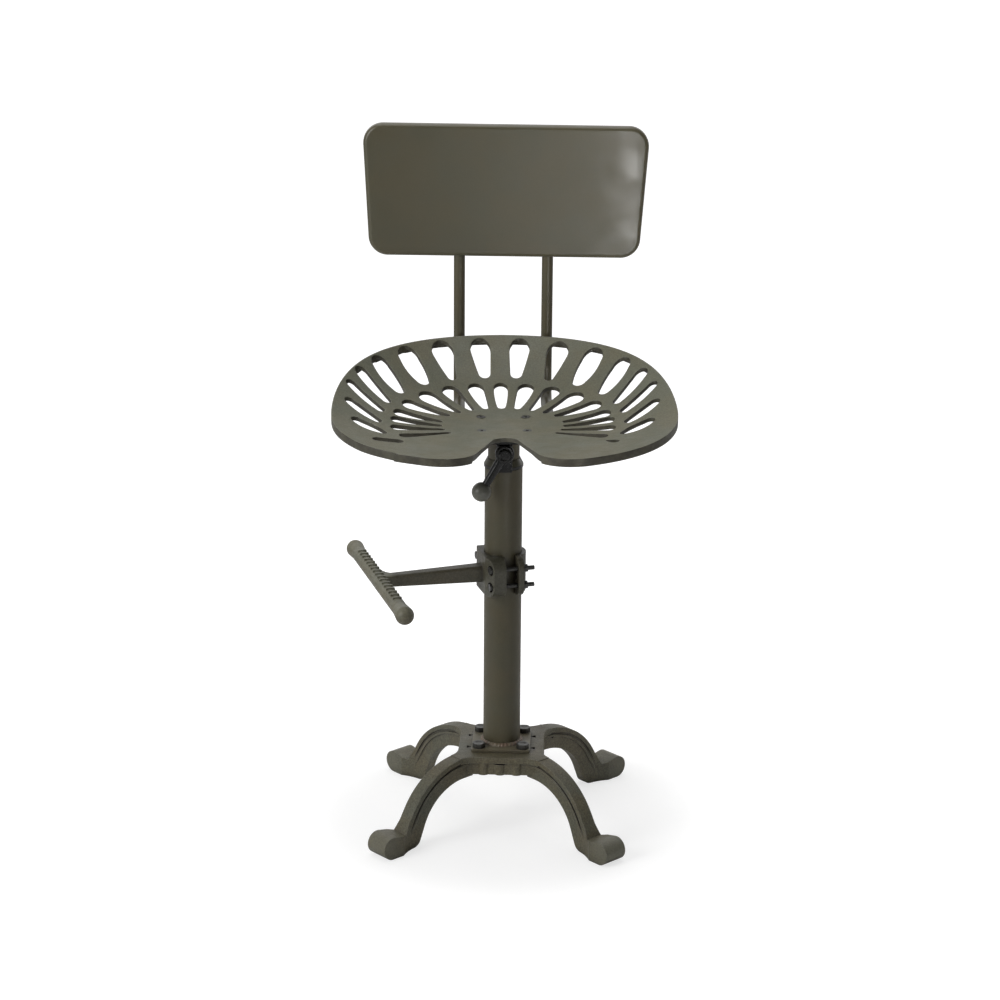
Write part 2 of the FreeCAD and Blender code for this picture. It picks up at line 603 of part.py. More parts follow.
def base_casting():
    body = new_body("base_casting")

    # Side view of one leg, with its rolled toe, at the toe's full width
    inner_x, inner_z = on_leg_arc(INNER_RADIUS, "leg_inner_end")
    heel = "(heel_radius * tan((90 - leg_inner_end) / 2))"
    heel_x = f"({inner_x} + {inner_z} * tan(leg_inner_end))"
    side = draw(new_sketch(body, "leg_side", "XZ_Plane"), [
        ("leg_root", f"{ARC_HEIGHT} + leg_outer_radius"),
        (*on_leg_arc("leg_outer_radius", "90"), "leg_outer_radius", -1),
        on_leg_arc("leg_outer_radius", "leg_outer_end"),
        down_the_leg("leg_outer_radius", "leg_outer_end", "leg_outer_run"),
        ("toe_centre + toe_radius * cos(toe_crown)",
         "toe_radius + toe_radius * sin(toe_crown)", "toe_radius", -1),
        ("toe_centre + toe_radius", "toe_radius", "toe_radius", -1),
        ("toe_centre", "0"),
        (f"{heel_x} + {heel}", "0", "heel_radius", -1),
        (f"{heel_x} - {heel} * sin(leg_inner_end)", f"{heel} * cos(leg_inner_end)"),
        (inner_x, inner_z, INNER_RADIUS, 1),
        on_leg_arc(INNER_RADIUS, "90"),
        ("leg_root", f"{ARC_HEIGHT} + {INNER_RADIUS}"),
    ])
    leg = pad(body, side, "toe_width", "leg", both_ways=True)

    # Both sides are cut back to the web, which widens again into the toe
    rise = "((toe_width - web_width) / 2)"
    flare = f"(((flare_end - flare_start)^2 + {rise}^2) / (2 * {rise}))"
    plan = new_sketch(body, "leg_plan")
    for sign, turn in (("", 1), ("-", -1)):
        draw(plan, [
            ("leg_root - overlap", f"{sign}web_width / 2"),
            ("flare_start", f"{sign}web_width / 2", flare, turn),
            ("flare_end", f"{sign}toe_width / 2"),
            ("flare_end", f"{sign}(toe_width / 2 + overlap)"),
            ("leg_root - overlap", f"{sign}(toe_width / 2 + overlap)"),
        ])
    narrowing = pocket(body, plan, "leg_narrowing", "hub_top", backwards=True)
    flange = leg_band(body, "flange", "0", "flange_thickness", "flange_width", "leg_outer_run")
    bead = leg_band(body, "bead", "bead_depth", "(bead_depth + bead_thickness)", "bead_width",
                    "leg_outer_run")
    polar_copies(body, [leg, narrowing, flange, bead], 4, "four_legs")

    # Square slab with curved inner corners where the legs leave it
    half = "(flange_width / 2)"
    corner = "(hub_half * sqrt(2) - flange_width / 2)"
    tangent = "(hub_blend * tan(22.5))"
    slab = new_sketch(body, "slab_plan", lift=HUB_BOTTOM)
    draw(slab, quarter_turns([
        (f"{corner} + {tangent}", f"-{half}"),
        (f"{corner} + {tangent}", half, "hub_blend", -1),
        (f"{corner} - {tangent} * sin(45)", f"{half} + {tangent} * sin(45)"),
        (f"{half} + {tangent} * sin(45)", f"{corner} - {tangent} * sin(45)", "hub_blend", -1),
    ]))
    pad(body, slab, "hub_thickness", "slab")

    # Skirt under the slab, open below, with upright ridges on its four faces
    diagonal = Rotation(Vector(0, 0, 1), 45)
    skirt = new_sketch(body, "skirt_plan", lift=f"{HUB_BOTTOM} - skirt_depth")
    skirt.AttachmentOffset = Placement(skirt.AttachmentOffset.Base, diagonal)
    outer = "(hub_half - skirt_inset)"
    draw_box(skirt, outer, outer)
    draw_box(skirt, f"{outer} - skirt_wall", f"{outer} - skirt_wall")
    pad(body, skirt, "skirt_depth", "skirt")
    ridges = new_sketch(body, "ridge_plan", lift=f"{HUB_BOTTOM} - skirt_depth")
    ridges.AttachmentOffset = Placement(ridges.AttachmentOffset.Base, diagonal)
    for shift in ("-1", "0", "1"):
        draw_circle(ridges, f"{shift} * ridge_pitch", f"-({outer} - ridge_sink)", "ridge_radius")
    ridge = pad(body, ridges, "skirt_depth", "ridges")
    slit_plan = new_sketch(body, "slit_plan", lift=HUB_BOTTOM)
    slit_plan.AttachmentOffset = Placement(slit_plan.AttachmentOffset.Base, diagonal)
    draw(slit_plan, [
        ("-slit_length / 2", "-(hub_half + 2 * overlap)"),
        ("slit_length / 2", "-(hub_half + 2 * overlap)"),
        ("slit_length / 2", f"slit_depth - {outer} - ridge_radius + ridge_sink"),
        ("-slit_length / 2", f"slit_depth - {outer} - ridge_radius + ridge_sink"),
    ])
    slit = pocket(body, slit_plan, "slit", "slit_height")
    polar_copies(body, [ridge, slit], 4, "four_faces")

    # Holes for the four bolts, and the pockets beside the plate
    holes = new_sketch(body, "bolt_hole_plan", lift=HUB_BOTTOM)
    holes.AttachmentOffset = Placement(holes.AttachmentOffset.Base, diagonal)
    for x, y in square("bolt_spacing"):
        draw_circle(holes, x, y, "bolt_diameter / 2 + hole_clearance")
    for side in ("", "-"):
        for end in ("", "-"):
            points = [
                (f"{end}pocket_along", f"{side}(pocket_across - pocket_side / 2)"),
                (f"{end}(pocket_along - pocket_side / 2)", f"{side}(pocket_across + pocket_side / 2)"),
                (f"{end}(pocket_along + pocket_side / 2)", f"{side}(pocket_across + pocket_side / 2)"),
            ]
            draw(holes, points)
    pocket(body, holes, "bolt_holes", "hub_thickness", backwards=True)

    # Small cored hole through the leg on the right at the rear
    cored = new_sketch(body, "cored_hole_outline", "XZ_Plane")
    draw_circle(cored, "cast_hole_reach", "cast_hole_height", "cast_hole_diameter / 2")
    pocket(body, cored, "cored_hole", "toe_width", both_ways=True)
    place(body, turn="45 + base_turn")
    return finished(body)


# Column, its plate and what bolts it down

PLATE_TOP = "(hub_top + plate_thickness)"


def base_plate():
    body = new_body("base_plate")
    outline = draw_rounded_box(new_sketch(body, "plate_plan"), "plate_side / 2",
                               "plate_side / 2", "plate_corner")
    for x, y in square("bolt_spacing"):
        draw_circle(outline, x, y, "bolt_diameter / 2 + hole_clearance")
    pad(body, outline, "plate_thickness", "plate")
    weld = new_sketch(body, "weld_section", "XZ_Plane")
    draw(weld, [
        ("column_diameter / 2", "plate_thickness"),
        ("column_diameter / 2 + weld_leg", "plate_thickness", "weld_round", 1),
        ("column_diameter / 2", "plate_thickness + weld_leg"),
    ])
    bead = body.newObject("PartDesign::Revolution", "weld")
    bead.Profile = weld
    bead.ReferenceAxis = (weld, ["V_Axis"])
    bead.Angle = 360
    place(body, z="hub_top", turn="base_turn")
    return finished(body)


def base_bolts():
    bolt = hex_bolt("base_bolt", "bolt_flats", "bolt_head", "bolt_dish", "bolt_diameter / 2",
                    "plate_thickness + hub_thickness + bolt_washer + bolt_nut + bolt_tail")
    spots = square("bolt_spacing")
    group("plate_bolts", bolt, spots, z=PLATE_TOP, turn="base_turn")
    washer = ring("base_washer", "bolt_diameter / 2 + hole_clearance",
                  "bolt_washer_diameter / 2", "bolt_washer")
    group("plate_washers", washer, spots, z=f"{HUB_BOTTOM} - bolt_washer", turn="base_turn")
    nut = hex_nut("base_nut", "bolt_flats", "bolt_nut", "bolt_diameter / 2 + thread_gap", "0")
    group("plate_nuts", nut, spots, z=f"{HUB_BOTTOM} - bolt_washer - bolt_nut",
          turn="base_turn")


def column():
    tube = ring("column_tube", "column_diameter / 2 - column_wall", "column_diameter / 2",
                f"column_top - {PLATE_TOP}", z=PLATE_TOP)
    return finished(tube)


STEM_RADIUS = "(stem_diameter / 2)"
COLLAR_TOP = "(collar_groove + collar_height + collar_taper)"


def top_collar():
    """Ring on the tube's end that tapers to the stem, with a neck inside the tube."""
    bore = f"({STEM_RADIUS} + slide_gap)"
    neck = "(column_diameter / 2 - column_wall - fit_gap)"
    groove = "(column_diameter / 2 - collar_groove_depth)"
    outer = "(collar_diameter / 2)"
    body = turned("top_collar", [
        (bore, "-collar_spigot"),
        (neck, "-collar_spigot"),
        (neck, "0"),
        (groove, "0"),
        (groove, "collar_groove"),
        (outer, "collar_groove"),
        (outer, "collar_groove + collar_height"),
        (f"{bore} + collar_lip", COLLAR_TOP),
        (bore, COLLAR_TOP),
    ], z="column_top")
    return finished(body)


# Lock block, lock screw and lever

def lock_block():
    """Upright block at the front, hollowed for the stem above and for the collar below."""
    body = new_body("lock_block")
    step = f"({COLLAR_TOP} + block_gap - block_lift)"
    upper = new_sketch(body, "upper_plan", lift=step)
    clear = f"({STEM_RADIUS} + block_gap)"
    draw(upper, [
        ("-block_width / 2", "-block_front"),
        ("block_width / 2", "-block_front"),
        ("block_width / 2", f"-sqrt({clear}^2 - block_width^2 / 4)", clear, -1),
        ("-block_width / 2", f"-sqrt({clear}^2 - block_width^2 / 4)"),
    ])
    pad(body, upper, f"block_height - {step}", "upper")
    lower = new_sketch(body, "lower_plan")
    seat = "(collar_diameter / 2 + fit_gap)"
    draw(lower, [
        ("-block_width / 2", "-block_front"),
        ("block_width / 2", "-block_front"),
        ("block_width / 2", f"-sqrt({seat}^2 - block_width^2 / 4)", seat, -1),
        ("-block_width / 2", f"-sqrt({seat}^2 - block_width^2 / 4)"),
    ])
    whole = pad(body, lower, step, "lower")
    front = number("-block_front")

    def front_edge(a, b):
        upright = abs(a.x - b.x) < 0.01 and abs(a.y - b.y) < 0.01
        return upright and abs(a.y - front) < 0.01

    rounded = fillet(body, whole, "block_round", front_edge, "front_rounding")
    body.Tip = rounded
    bores = new_sketch(body, "bore_plan", "XZ_Plane")
    draw_circle(bores, "0", "lever_height - column_top - block_lift",
                "lock_screw_diameter / 2 + thread_gap")
    for side in ("", "-"):
        draw_circle(bores, f"{side}grub_spread / 2", "grub_height",
                    "grub_diameter / 2 + thread_gap")
    pocket(body, bores, "bores", "block_front + overlap", backwards=True)
    place(body, z="column_top + block_lift")
    return finished(body)


def collar_screws():
    """Two small screws through the block's foot, up to the collar's ring."""
    inner_end = "(collar_diameter / 2 + 2 * fit_gap)"
    screw = cylinder("grub", "grub_diameter / 2", f"block_front - {inner_end} - fit_gap",
                     y=f"-{inner_end}", z="grub_height", axis=Vector(1, 0, 0), turn="90")
    spots = [("grub_spread / 2", "0"), ("-grub_spread / 2", "0")]
    return group("collar_screws", screw, spots, z="column_top + block_lift")


HUB_BACK = "(block_front + hub_gap)"
HUB_FRONT = "(block_front + hub_gap + lever_hub_length)"


def lock_screw():
    """Screw through the block; its inner end comes up to the stem."""
    length = f"{HUB_FRONT} - {STEM_RADIUS} - lock_gap"
    screw = cylinder("lock_screw", "lock_screw_diameter / 2", length,
                     y=f"-({STEM_RADIUS} + lock_gap)", z="lever_height", axis=Vector(1, 0, 0),
                     turn="90")
    return finished(screw)


def lock_lever():
    """Hub on the screw, and a tapered arm that leans to the left, with a pin for the ball."""
    body = new_body("lock_lever")
    outer, bore = "(lever_hub_diameter / 2)", "(lock_screw_diameter / 2)"
    section = new_sketch(body, "hub_section", "YZ_Plane")
    draw(section, [
        (f"-{HUB_BACK}", bore),
        (f"-{HUB_BACK}", outer),
        (f"lever_hub_round - {HUB_FRONT}", outer, "lever_hub_round", 1),
        (f"-{HUB_FRONT}", f"{outer} - lever_hub_round"),
        (f"-{HUB_FRONT}", bore),
    ])
    hub = body.newObject("PartDesign::Revolution", "hub")
    hub.Profile = section
    hub.ReferenceAxis = (section, ["H_Axis"])
    hub.Angle = 360

    # The arm lies in the plane through the hub's middle
    arm = new_sketch(body, "arm_section", "XZ_Plane", lift=f"({HUB_BACK} + {HUB_FRONT}) / 2")
    arm.AttachmentOffset = Placement(arm.AttachmentOffset.Base, Rotation(Vector(0, 0, 1), 1))
    bind(arm, AttachmentOffset__Rotation__Angle="-lever_lean * 1deg")
    shoulder = "(lever_reach - knob_diameter / 2 + knob_flat)"
    draw(arm, [
        ("0", f"-({outer} - overlap)"),
        ("lever_root", f"-({outer} - overlap)"),
        ("lever_tip", f"-{shoulder}"),
        ("lever_pin", f"-{shoulder}"),
        ("lever_pin", f"-({shoulder} + lever_pin_length)"),
        ("0", f"-({shoulder} + lever_pin_length)"),
    ])
    shaft = body.newObject("PartDesign::Revolution", "arm")
    shaft.Profile = arm
    shaft.ReferenceAxis = (arm, ["V_Axis"])
    shaft.Angle = 360
    place(body, z="lever_height")
    return finished(body)


def lever_knob():
    """Ball with a blind hole for the arm's pin."""
    body = new_body("lever_knob")
    section = new_sketch(body, "ball_section", "XZ_Plane")
    radius, shoulder = "(knob_diameter / 2)", "(knob_diameter / 2 - knob_flat)"
    draw(section, [
        ("0", f"-{radius}", radius, 1),
        (radius, "0", radius, 1),
        (f"sqrt({radius}^2 - {shoulder}^2)", shoulder),
        ("lever_pin", shoulder),
        ("lever_pin", f"{shoulder} - lever_pin_length"),
        ("0", f"{shoulder} - lever_pin_length"),
    ])
    ball = body.newObject("PartDesign::Revolution", "ball")
    ball.Profile = section
    ball.ReferenceAxis = (section, ["V_Axis"])
    ball.Angle = 360
    place(body, x="-lever_reach * sin(lever_lean)", y=f"-({HUB_BACK} + {HUB_FRONT}) / 2",
          z="lever_height - lever_reach * cos(lever_lean)", axis=Vector(0, 1, 0),
          turn="lever_lean")
    return finished(body)


def lever_cap():
    """Shallow domed cap over the screw's end."""
    dome = cone("lever_cap", "cap_diameter / 2", "cap_top_diameter / 2", "cap_height",
                y=f"-{HUB_FRONT}", z="lever_height", axis=Vector(1, 0, 0), turn="90")
    return finished(dome)


# Stem and swivel

BRACKET_BOTTOM = "(stem_top + bush_flange + swivel_gap + boss_height)"
BRACKET_TOP = f"({BRACKET_BOTTOM} + bracket_thickness)"
SHOULDER = "(stem_top - bush_length - spindle_overlap)"


def stem():
    finished(ring("stem_tube", f"{STEM_RADIUS} - stem_wall", STEM_RADIUS,
                  "stem_top - stem_foot", z="stem_foot"))
    bore = "(column_diameter / 2 - column_wall - slide_gap)"
    lip = "(stem_diameter / 2 - stem_wall)"
    finished(turned("stem_guide_ring", [
        (lip, "-guide_lip"),
        (bore, "-guide_lip"),
        (bore, "guide_height"),
        (STEM_RADIUS, "guide_height"),
        (STEM_RADIUS, "0"),
        (lip, "0"),
    ], z="stem_foot"))
    hole = "(spindle_diameter / 2 + fit_gap)"
    body = f"({STEM_RADIUS} - stem_wall)"
    finished(turned("stem_bush", [
        (hole, "-bush_length"),
        (body, "-bush_length"),
        (body, "0"),
        (STEM_RADIUS, "0"),
        (STEM_RADIUS, "bush_flange"),
        (hole, "bush_flange"),
    ], z="stem_top"))


def swivel():
    """Spindle welded into the bracket, with a washer and a nut under the bush."""
    finished(turned("swivel_spindle", [
        ("0", "-spindle_thread_length"),
        ("spindle_thread / 2 - spindle_chamfer", "-spindle_thread_length"),
        ("spindle_thread / 2", "spindle_chamfer - spindle_thread_length"),
        ("spindle_thread / 2", "0"),
        ("spindle_diameter / 2", "0"),
        ("spindle_diameter / 2", f"{BRACKET_TOP} - {SHOULDER}"),
        ("0", f"{BRACKET_TOP} - {SHOULDER}"),
    ], z=SHOULDER))
    bore = "spindle_thread / 2 + thread_gap"
    finished(ring("spindle_washer", bore, "spindle_washer_diameter / 2",
                  "spindle_washer_thickness", z=f"{SHOULDER} - spindle_washer_thickness"))
    nut = hex_nut("spindle_nut", "spindle_nut_flats", "spindle_nut_height", bore,
                  f"{SHOULDER} - spindle_washer_thickness - spindle_nut_height")
    return finished(nut)


def seat_bracket():
    body = new_body("seat_bracket")
    boss = draw_circle(new_sketch(body, "boss_plan", lift="-boss_height"), "0", "0",
                       "boss_diameter / 2")
    draw_circle(boss, "0", "0", "spindle_diameter / 2")
    plate = draw_rounded_box(new_sketch(body, "bracket_plan"), "bracket_width / 2",
                             "bracket_length / 2", "bracket_corner")
    draw_circle(plate, "0", "0", "spindle_diameter / 2")
    for x, y in square("screw_spacing"):
        draw_circle(plate, x, y, "screw_diameter / 2 + thread_gap")
    pad(body, plate, "bracket_thickness", "bracket")
    pad(body, boss, "boss_height", "boss")
    place(body, z=BRACKET_BOTTOM)
    return finished(body)


# Seat pan

def plan_reach(across, along):
    """Distance from the slots' middle to the plain rounded outline, in a unit direction."""
    half, widest = number("seat_half_width"), number("seat_widest")
    front, rear = number("seat_front"), number("seat_rear")
    low, high = 0.0, 2 * (half + rear)
    while high - low > 1e-6:
        middle = (low + high) / 2
        y = middle * along - widest
        depth = rear if y > 0 else front
        power = number("seat_fullness" if y > 0 else "seat_front_fullness")
        filled = (abs(middle * across) / half) ** power + (abs(y) / depth) ** power
        if filled > 1:
            high = middle
        else:
            low = middle
    return low


def mirrored(point):
    return Vector(-point.x, point.y, point.z)


class Pan:
    """Sizes of the seat pan, read once from the sheet."""

    def __init__(self):
        self.half = number("seat_half_width")
        self.power = number("seat_fullness")
        self.front_power = number("seat_front_fullness")
        self.front = number("seat_front")
        self.rear = number("seat_rear")
        self.origin = number("seat_origin")
        self.widest = number("seat_origin + seat_widest")
        self.middle = number("pan_middle")
        self.hollow = number("pan_hollow")

    def rim_height(self, angle):
        """Height of the rim at an angle in degrees from straight back."""
        fall = (abs(angle) - number("pan_turn")) / number("pan_turn_spread")
        return number("pan_front_rim") + number("pan_rear_rise") / (1 + math.exp(fall))

    def height(self, x, y):
        """Height of the pan's upper surface over a point of the plan."""
        dx, dy = x, y - self.origin
        distance = math.hypot(dx, dy)
        if distance < 1e-6:
            return self.middle
        share = distance / plan_reach(dx / distance, dy / distance)
        rim = self.rim_height(math.degrees(math.atan2(dx, dy)))
        return self.middle + (rim - self.middle) * share**self.hollow

    def outline_point(self, angle, inset=0.0):
        """Point of the plain outline at a parameter angle, and its outward direction."""
        depth = self.rear if angle > 0 else self.front
        power = self.power if angle > 0 else self.front_power
        c, s = math.cos(angle), math.sin(angle)
        x = self.half * abs(c) ** (2 / power)
        rise = abs(s) ** (2 / power)
        y = self.widest + math.copysign(depth * rise, s)
        pull_x = (x / self.half) ** (power - 1) / self.half
        pull_y = math.copysign(rise ** (power - 1) / depth, s)
        outward = Vector(pull_x, pull_y, 0).normalize()
        return Vector(x, y, 0) - outward * inset, outward

    def notch(self):
        """Middle of the notch's arch, and the direction square to its right side."""
        flare = math.radians(number("notch_flare"))
        middle = Vector(0, self.widest - self.front + number("notch_depth"), 0)
        return middle, Vector(math.cos(flare), math.sin(flare), 0)

    def front_blend(self):
        """Parameter angle and middle of the arc that blends the notch into the front."""
        blend = number("notch_blend")
        arch_middle, across = self.notch()
        low, high = -math.pi / 2, 0.0
        while high - low > 1e-9:
            middle = (low + high) / 2
            point, outward = self.outline_point(middle)
            away = (point - outward * blend - arch_middle).dot(across)
            if away < number("notch_radius") + blend:
                low = middle
            else:
                high = middle
        point, outward = self.outline_point(low)
        return low, point - outward * blend

    def plan(self, inset):
        """The pan's outline, moved inwards by an inset, as a closed wire at height 0."""
        start, blend_middle = self.front_blend()
        steps = 14
        angles = [start + (math.pi / 2 - start) * k / steps for k in range(steps + 1)]
        right = [self.outline_point(a, inset)[0] for a in angles[:-1]]
        rear, _ = self.outline_point(math.pi / 2, inset)
        rear.x = 0.0
        left = [mirrored(p) for p in reversed(right)]
        points = right + [rear] + left
        _, outward = self.outline_point(start)
        along = Vector(-outward.y, outward.x, 0)
        rim = Part.BSplineCurve()
        rim.interpolate(Points=points, InitialTangent=along, FinalTangent=Vector(along.x, -along.y, 0))
        front = points[0]
        radius = number("notch_radius") + inset
        blend = number("notch_blend") - inset
        arch_middle, across = self.notch()
        side = blend_middle - across * blend
        mid = blend_middle + (outward - across).normalize() * blend
        spring = arch_middle + across * radius
        edges = [
            rim.toShape(),
            Part.Arc(mirrored(front), mirrored(mid), mirrored(side)).toShape(),
            Part.LineSegment(mirrored(side), mirrored(spring)).toShape(),
            Part.Arc(mirrored(spring), arch_middle + Vector(0, radius, 0), spring).toShape(),
            Part.LineSegment(spring, side).toShape(),
            Part.Arc(side, mid, front).toShape(),
        ]
        return Part.Wire(edges)

    def rim_fade(self):
        """What is taken off below, so that the rim fades out towards the notch."""
        middle, _ = self.notch()
        full = middle.y - number("rim_gone")
        start = full - number("rim_fade")
        back = middle.y + number("rim_gone_behind")
        below = number("pan_thickness + slide_gap")
        low = self.middle - number("3 * rim_depth")
        corners = [
            (start, self.height(0, start) - number("rim_depth")),
            (full, self.height(0, full) - below),
            (back, self.height(0, back) - below),
            (back, low),
            (start, low),
        ]
        half = number("rim_fade_half")
        points = [Vector(-half, y, z) for y, z in corners]
        face = Part.Face(Part.makePolygon(points + points[:1]))
        return face.extrude(Vector(2 * half, 0, 0))

    def slot(self, tip_angle, tip_distance, tip_width, end_angle, end_distance, end_width, bulge):
        """A slot's plan: two round ends and the sides that touch both, which may bulge."""
        tip_radius, end_radius = tip_width / 2, end_width / 2
        tip = self.spot(tip_angle, tip_distance + tip_radius)
        end = self.spot(end_angle, end_distance - end_radius)
        axis = end - tip
        length = axis.Length
        axis.normalize()
        side = Vector(-axis.y, axis.x, 0)
        lean = (end_radius - tip_radius) / length
        spread = math.sqrt(1 - lean**2)
        touch_left = side * spread - axis * lean
        touch_right = side * -spread - axis * lean
        a, b = tip + touch_left * tip_radius, end + touch_left * end_radius
        c, d = end + touch_right * end_radius, tip + touch_right * tip_radius
        if bulge:
            left = Part.Arc(a, (a + b) * 0.5 + touch_left * bulge, b)
            right = Part.Arc(c, (c + d) * 0.5 + touch_right * bulge, d)
        else:
            left, right = Part.LineSegment(a, b), Part.LineSegment(c, d)
        edges = [
            left.toShape(),
            Part.Arc(b, end + axis * end_radius, c).toShape(),
            right.toShape(),
            Part.Arc(d, tip - axis * tip_radius, a).toShape(),
        ]
        return Part.Wire(edges)

    def spot(self, angle, distance):
        """Plan point at an angle from straight back and a distance from the slots' middle."""
        turn = math.radians(angle)
        across = number("slots_across") + distance * math.sin(turn)
        return Vector(across, self.origin + distance * math.cos(turn), 0)

    def reach(self, angle, share):
        """Distance to a share of the rim's radius at an angle from straight back."""
        turn = math.radians(angle)
        return share * plan_reach(math.sin(turn), math.cos(turn))


# The inner slots: angle from straight back, distance and width of the inner end, angle and width
# of the outer end, and bulge of the sides; all but the first have their mirror image
INNER_SLOTS = (
    (0, 74, 11, 0, 19, 1),
    (16, 75, 9.5, 15.8, 22.7, 0.7),
    (31, 76, 9, 32.3, 25.5, 0.5),
    (46.4, 77, 8.2, 49.7, 28.3, 0.3),
    (61.2, 80, 9, 66.5, 24.5, 0.5),
    (79.5, 81, 8, 80.2, 20.5, 0.2),
    (91, 80, 8, 89.5, 18.5, 0),
    (102, 78, 7, 100.5, 18, 0),
    (113.5, 75, 6.5, 113.5, 16.5, 0),
)
# The outer slots: angle and width of the inner end, angle and width of the outer end, bulge of the
# sides, and the share by which the slot ends short of the longest; all have their mirror image
OUTER_SLOTS = (
    (8.3, 16.3, 8.3, 28, 0, 0),
    (25.7, 13.2, 24.5, 30.6, 0, 0),
    (42, 19.5, 40, 29.3, 2.2, 0),
    (59.2, 16, 54.2, 24.4, 2.4, 0),
    (72.5, 12.2, 65.1, 18.7, 1, 0),
    (82.7, 12.2, 74.4, 13.3, 1, 0.012),
    (94.5, 11.5, 84.9, 14, 1.9, 0.05),
    (108.5, 9.7, 97.6, 15, 4, 0.105),
)
# The frontmost slots differ: a whole one on the left and a short one on the right
FRONT_SLOTS = (
    (-121.5, 16, -117.5, 16, 0, 0.123),
    (120.8, 4, 120.5, 13, 0, 0.2),
)


def slot_plans(pan):
    plans = []
    for tip, distance, tip_width, end, end_width, bulge in INNER_SLOTS:
        reach = pan.reach(end, number("inner_reach"))
        for side in (1, -1) if tip else (1,):
            plans.append(pan.slot(side * tip, distance, tip_width, side * end, reach, end_width,
                                  bulge))
    outer = [(side * tip, tip_width, side * end, *rest)
             for tip, tip_width, end, *rest in OUTER_SLOTS for side in (1, -1)]
    for tip, tip_width, end, end_width, bulge, short in outer + list(FRONT_SLOTS):
        distance = pan.reach(tip, number("outer_tip"))
        reach = pan.reach(end, number("outer_reach") - short)
        plans.append(pan.slot(tip, distance, tip_width, end, reach, end_width, bulge))
    return plans


SCREW_SLOPE = "(screw_head_height / (screw_head_diameter / 2 - screw_diameter / 2))"


def half_section(corners, foot):
    """A solid turned about an upright axis from (radius, height) corners."""
    points = [foot + Vector(radius, 0, height) for radius, height in corners]
    face = Part.Face(Part.makePolygon(points + points[:1]))
    return face.revolve(foot, Vector(0, 0, 1), 360)


def upright(wire, height):
    """A solid that stands on a flat wire at height 0."""
    return Part.Face(wire).extrude(Vector(0, 0, height))


def seat_pan():
    """Bowl-shaped casting: one curved surface, thickened downwards, cut to its plan and slots."""
    pan = Pan()
    cells_each_way = 24
    margin = 3.0
    low_y = pan.widest - pan.front - margin
    high_y = pan.widest + pan.rear + margin
    half = pan.half + margin
    columns = []
    for i in range(cells_each_way + 1):
        x = -half + 2 * half * i / cells_each_way
        column_points = []
        for j in range(cells_each_way + 1):
            y = low_y + (high_y - low_y) * j / cells_each_way
            column_points.append(Vector(x, y, pan.height(x, y)))
        columns.append(column_points)
    surface = Part.BSplineSurface()
    surface.interpolate(columns)
    skin = surface.toShape()
    thickness, rim_depth = number("pan_thickness"), number("rim_depth")
    tall = number("pan_front_rim + pan_rear_rise + 2 * pan_thickness")
    outline = upright(pan.plan(0.0), tall)
    inside = upright(pan.plan(number("rim_thickness")), tall)
    underside = skin.translated(Vector(0, 0, -thickness))
    hollow = underside.extrude(Vector(0, 0, -2 * rim_depth)).common(inside)
    shape = skin.extrude(Vector(0, 0, -rim_depth)).common(outline).cut([hollow, pan.rim_fade()])

    bracket_top = number(BRACKET_TOP)
    below = bracket_top - number("overlap")
    hole = number("screw_diameter / 2 + hole_clearance")
    head = number("screw_head_diameter / 2 + slide_gap")
    bosses, holes = [], []
    for x, y in square("screw_spacing"):
        foot = Vector(number(x), number(y), 0)
        top = pan.height(foot.x, foot.y)
        bosses.append(half_section([
            (0, bracket_top),
            (number("pan_boss_diameter / 2"), bracket_top),
            (number("pan_boss_diameter / 2"), top - thickness / 2),
            (0, top - thickness / 2),
        ], foot))
        holes.append(half_section([
            (0, below),
            (hole, below),
            (hole, top - (head - hole) * number(SCREW_SLOPE)),
            (head, top),
            (head, top + thickness),
            (0, top + thickness),
        ], foot))
    shape = shape.fuse(bosses)
    cutters = [upright(wire, tall) for wire in slot_plans(pan)]
    shape = shape.cut(cutters + holes)
    feature = doc.addObject("Part::Feature", "seat_pan")
    feature.Label = "seat_pan"
    feature.Shape = shape.Solids[0] if len(shape.Solids) == 1 else shape
    return finished(feature), pan


def seat_fasteners(pan):
    """Countersunk screws from above, threaded into the bracket."""
    radius, head = number("screw_diameter / 2"), number("screw_head_diameter / 2")
    foot = number(f"{BRACKET_BOTTOM} + screw_short")
    recess, socket = number("screw_recess"), number("screw_recess_diameter / 2")
    screws = []
    for x, y in square("screw_spacing"):
        middle = Vector(number(x), number(y), 0)
        top = pan.height(middle.x, middle.y)
        screws.append(half_section([
            (0, foot),
            (radius, foot),
            (radius, top - number("screw_head_height")),
            (head, top),
            (socket, top),
            (socket, top - recess),
            (0, top - recess),
        ], middle))
    feature = doc.addObject("Part::Feature", "seat_screws")
    feature.Label = "seat_screws"
    feature.Shape = Part.makeCompound(screws)
    return finished(feature)


# Backrest

ROD_HEIGHT = f"({BRACKET_BOTTOM} - rod_diameter / 2)"
BACK_FRONT = "(rod_back - rod_diameter / 2 - slide_gap - back_sheet)"


def back_rod(label, side):
    """Bent rod: level under the bracket, a quarter bend, then upright."""
    level = cylinder(f"{label}_level", "rod_diameter / 2", "rod_back - rod_bend - rod_start",
                     y="rod_start", z=ROD_HEIGHT, axis=Vector(-1, 0, 0), turn="90")
    bend = doc.addObject("Part::Torus", f"{label}_bend")
    bend.Angle3 = 90
    bind(bend, Radius1="rod_bend", Radius2="rod_diameter / 2")
    place(bend, y="rod_back - rod_bend", z=f"{ROD_HEIGHT} + rod_bend", axis=Vector(0, 1, 0),
          turn="90")
    standing = cylinder(f"{label}_upright", "rod_diameter / 2",
                        f"rod_top - {ROD_HEIGHT} - rod_bend", y="rod_back",
                        z=f"{ROD_HEIGHT} + rod_bend")
    rod = joined(label, level, bend, standing)
    rod.Label = label
    place(rod, x=f"rods_across {side or '+'} rod_spread / 2")
    return finished(rod)


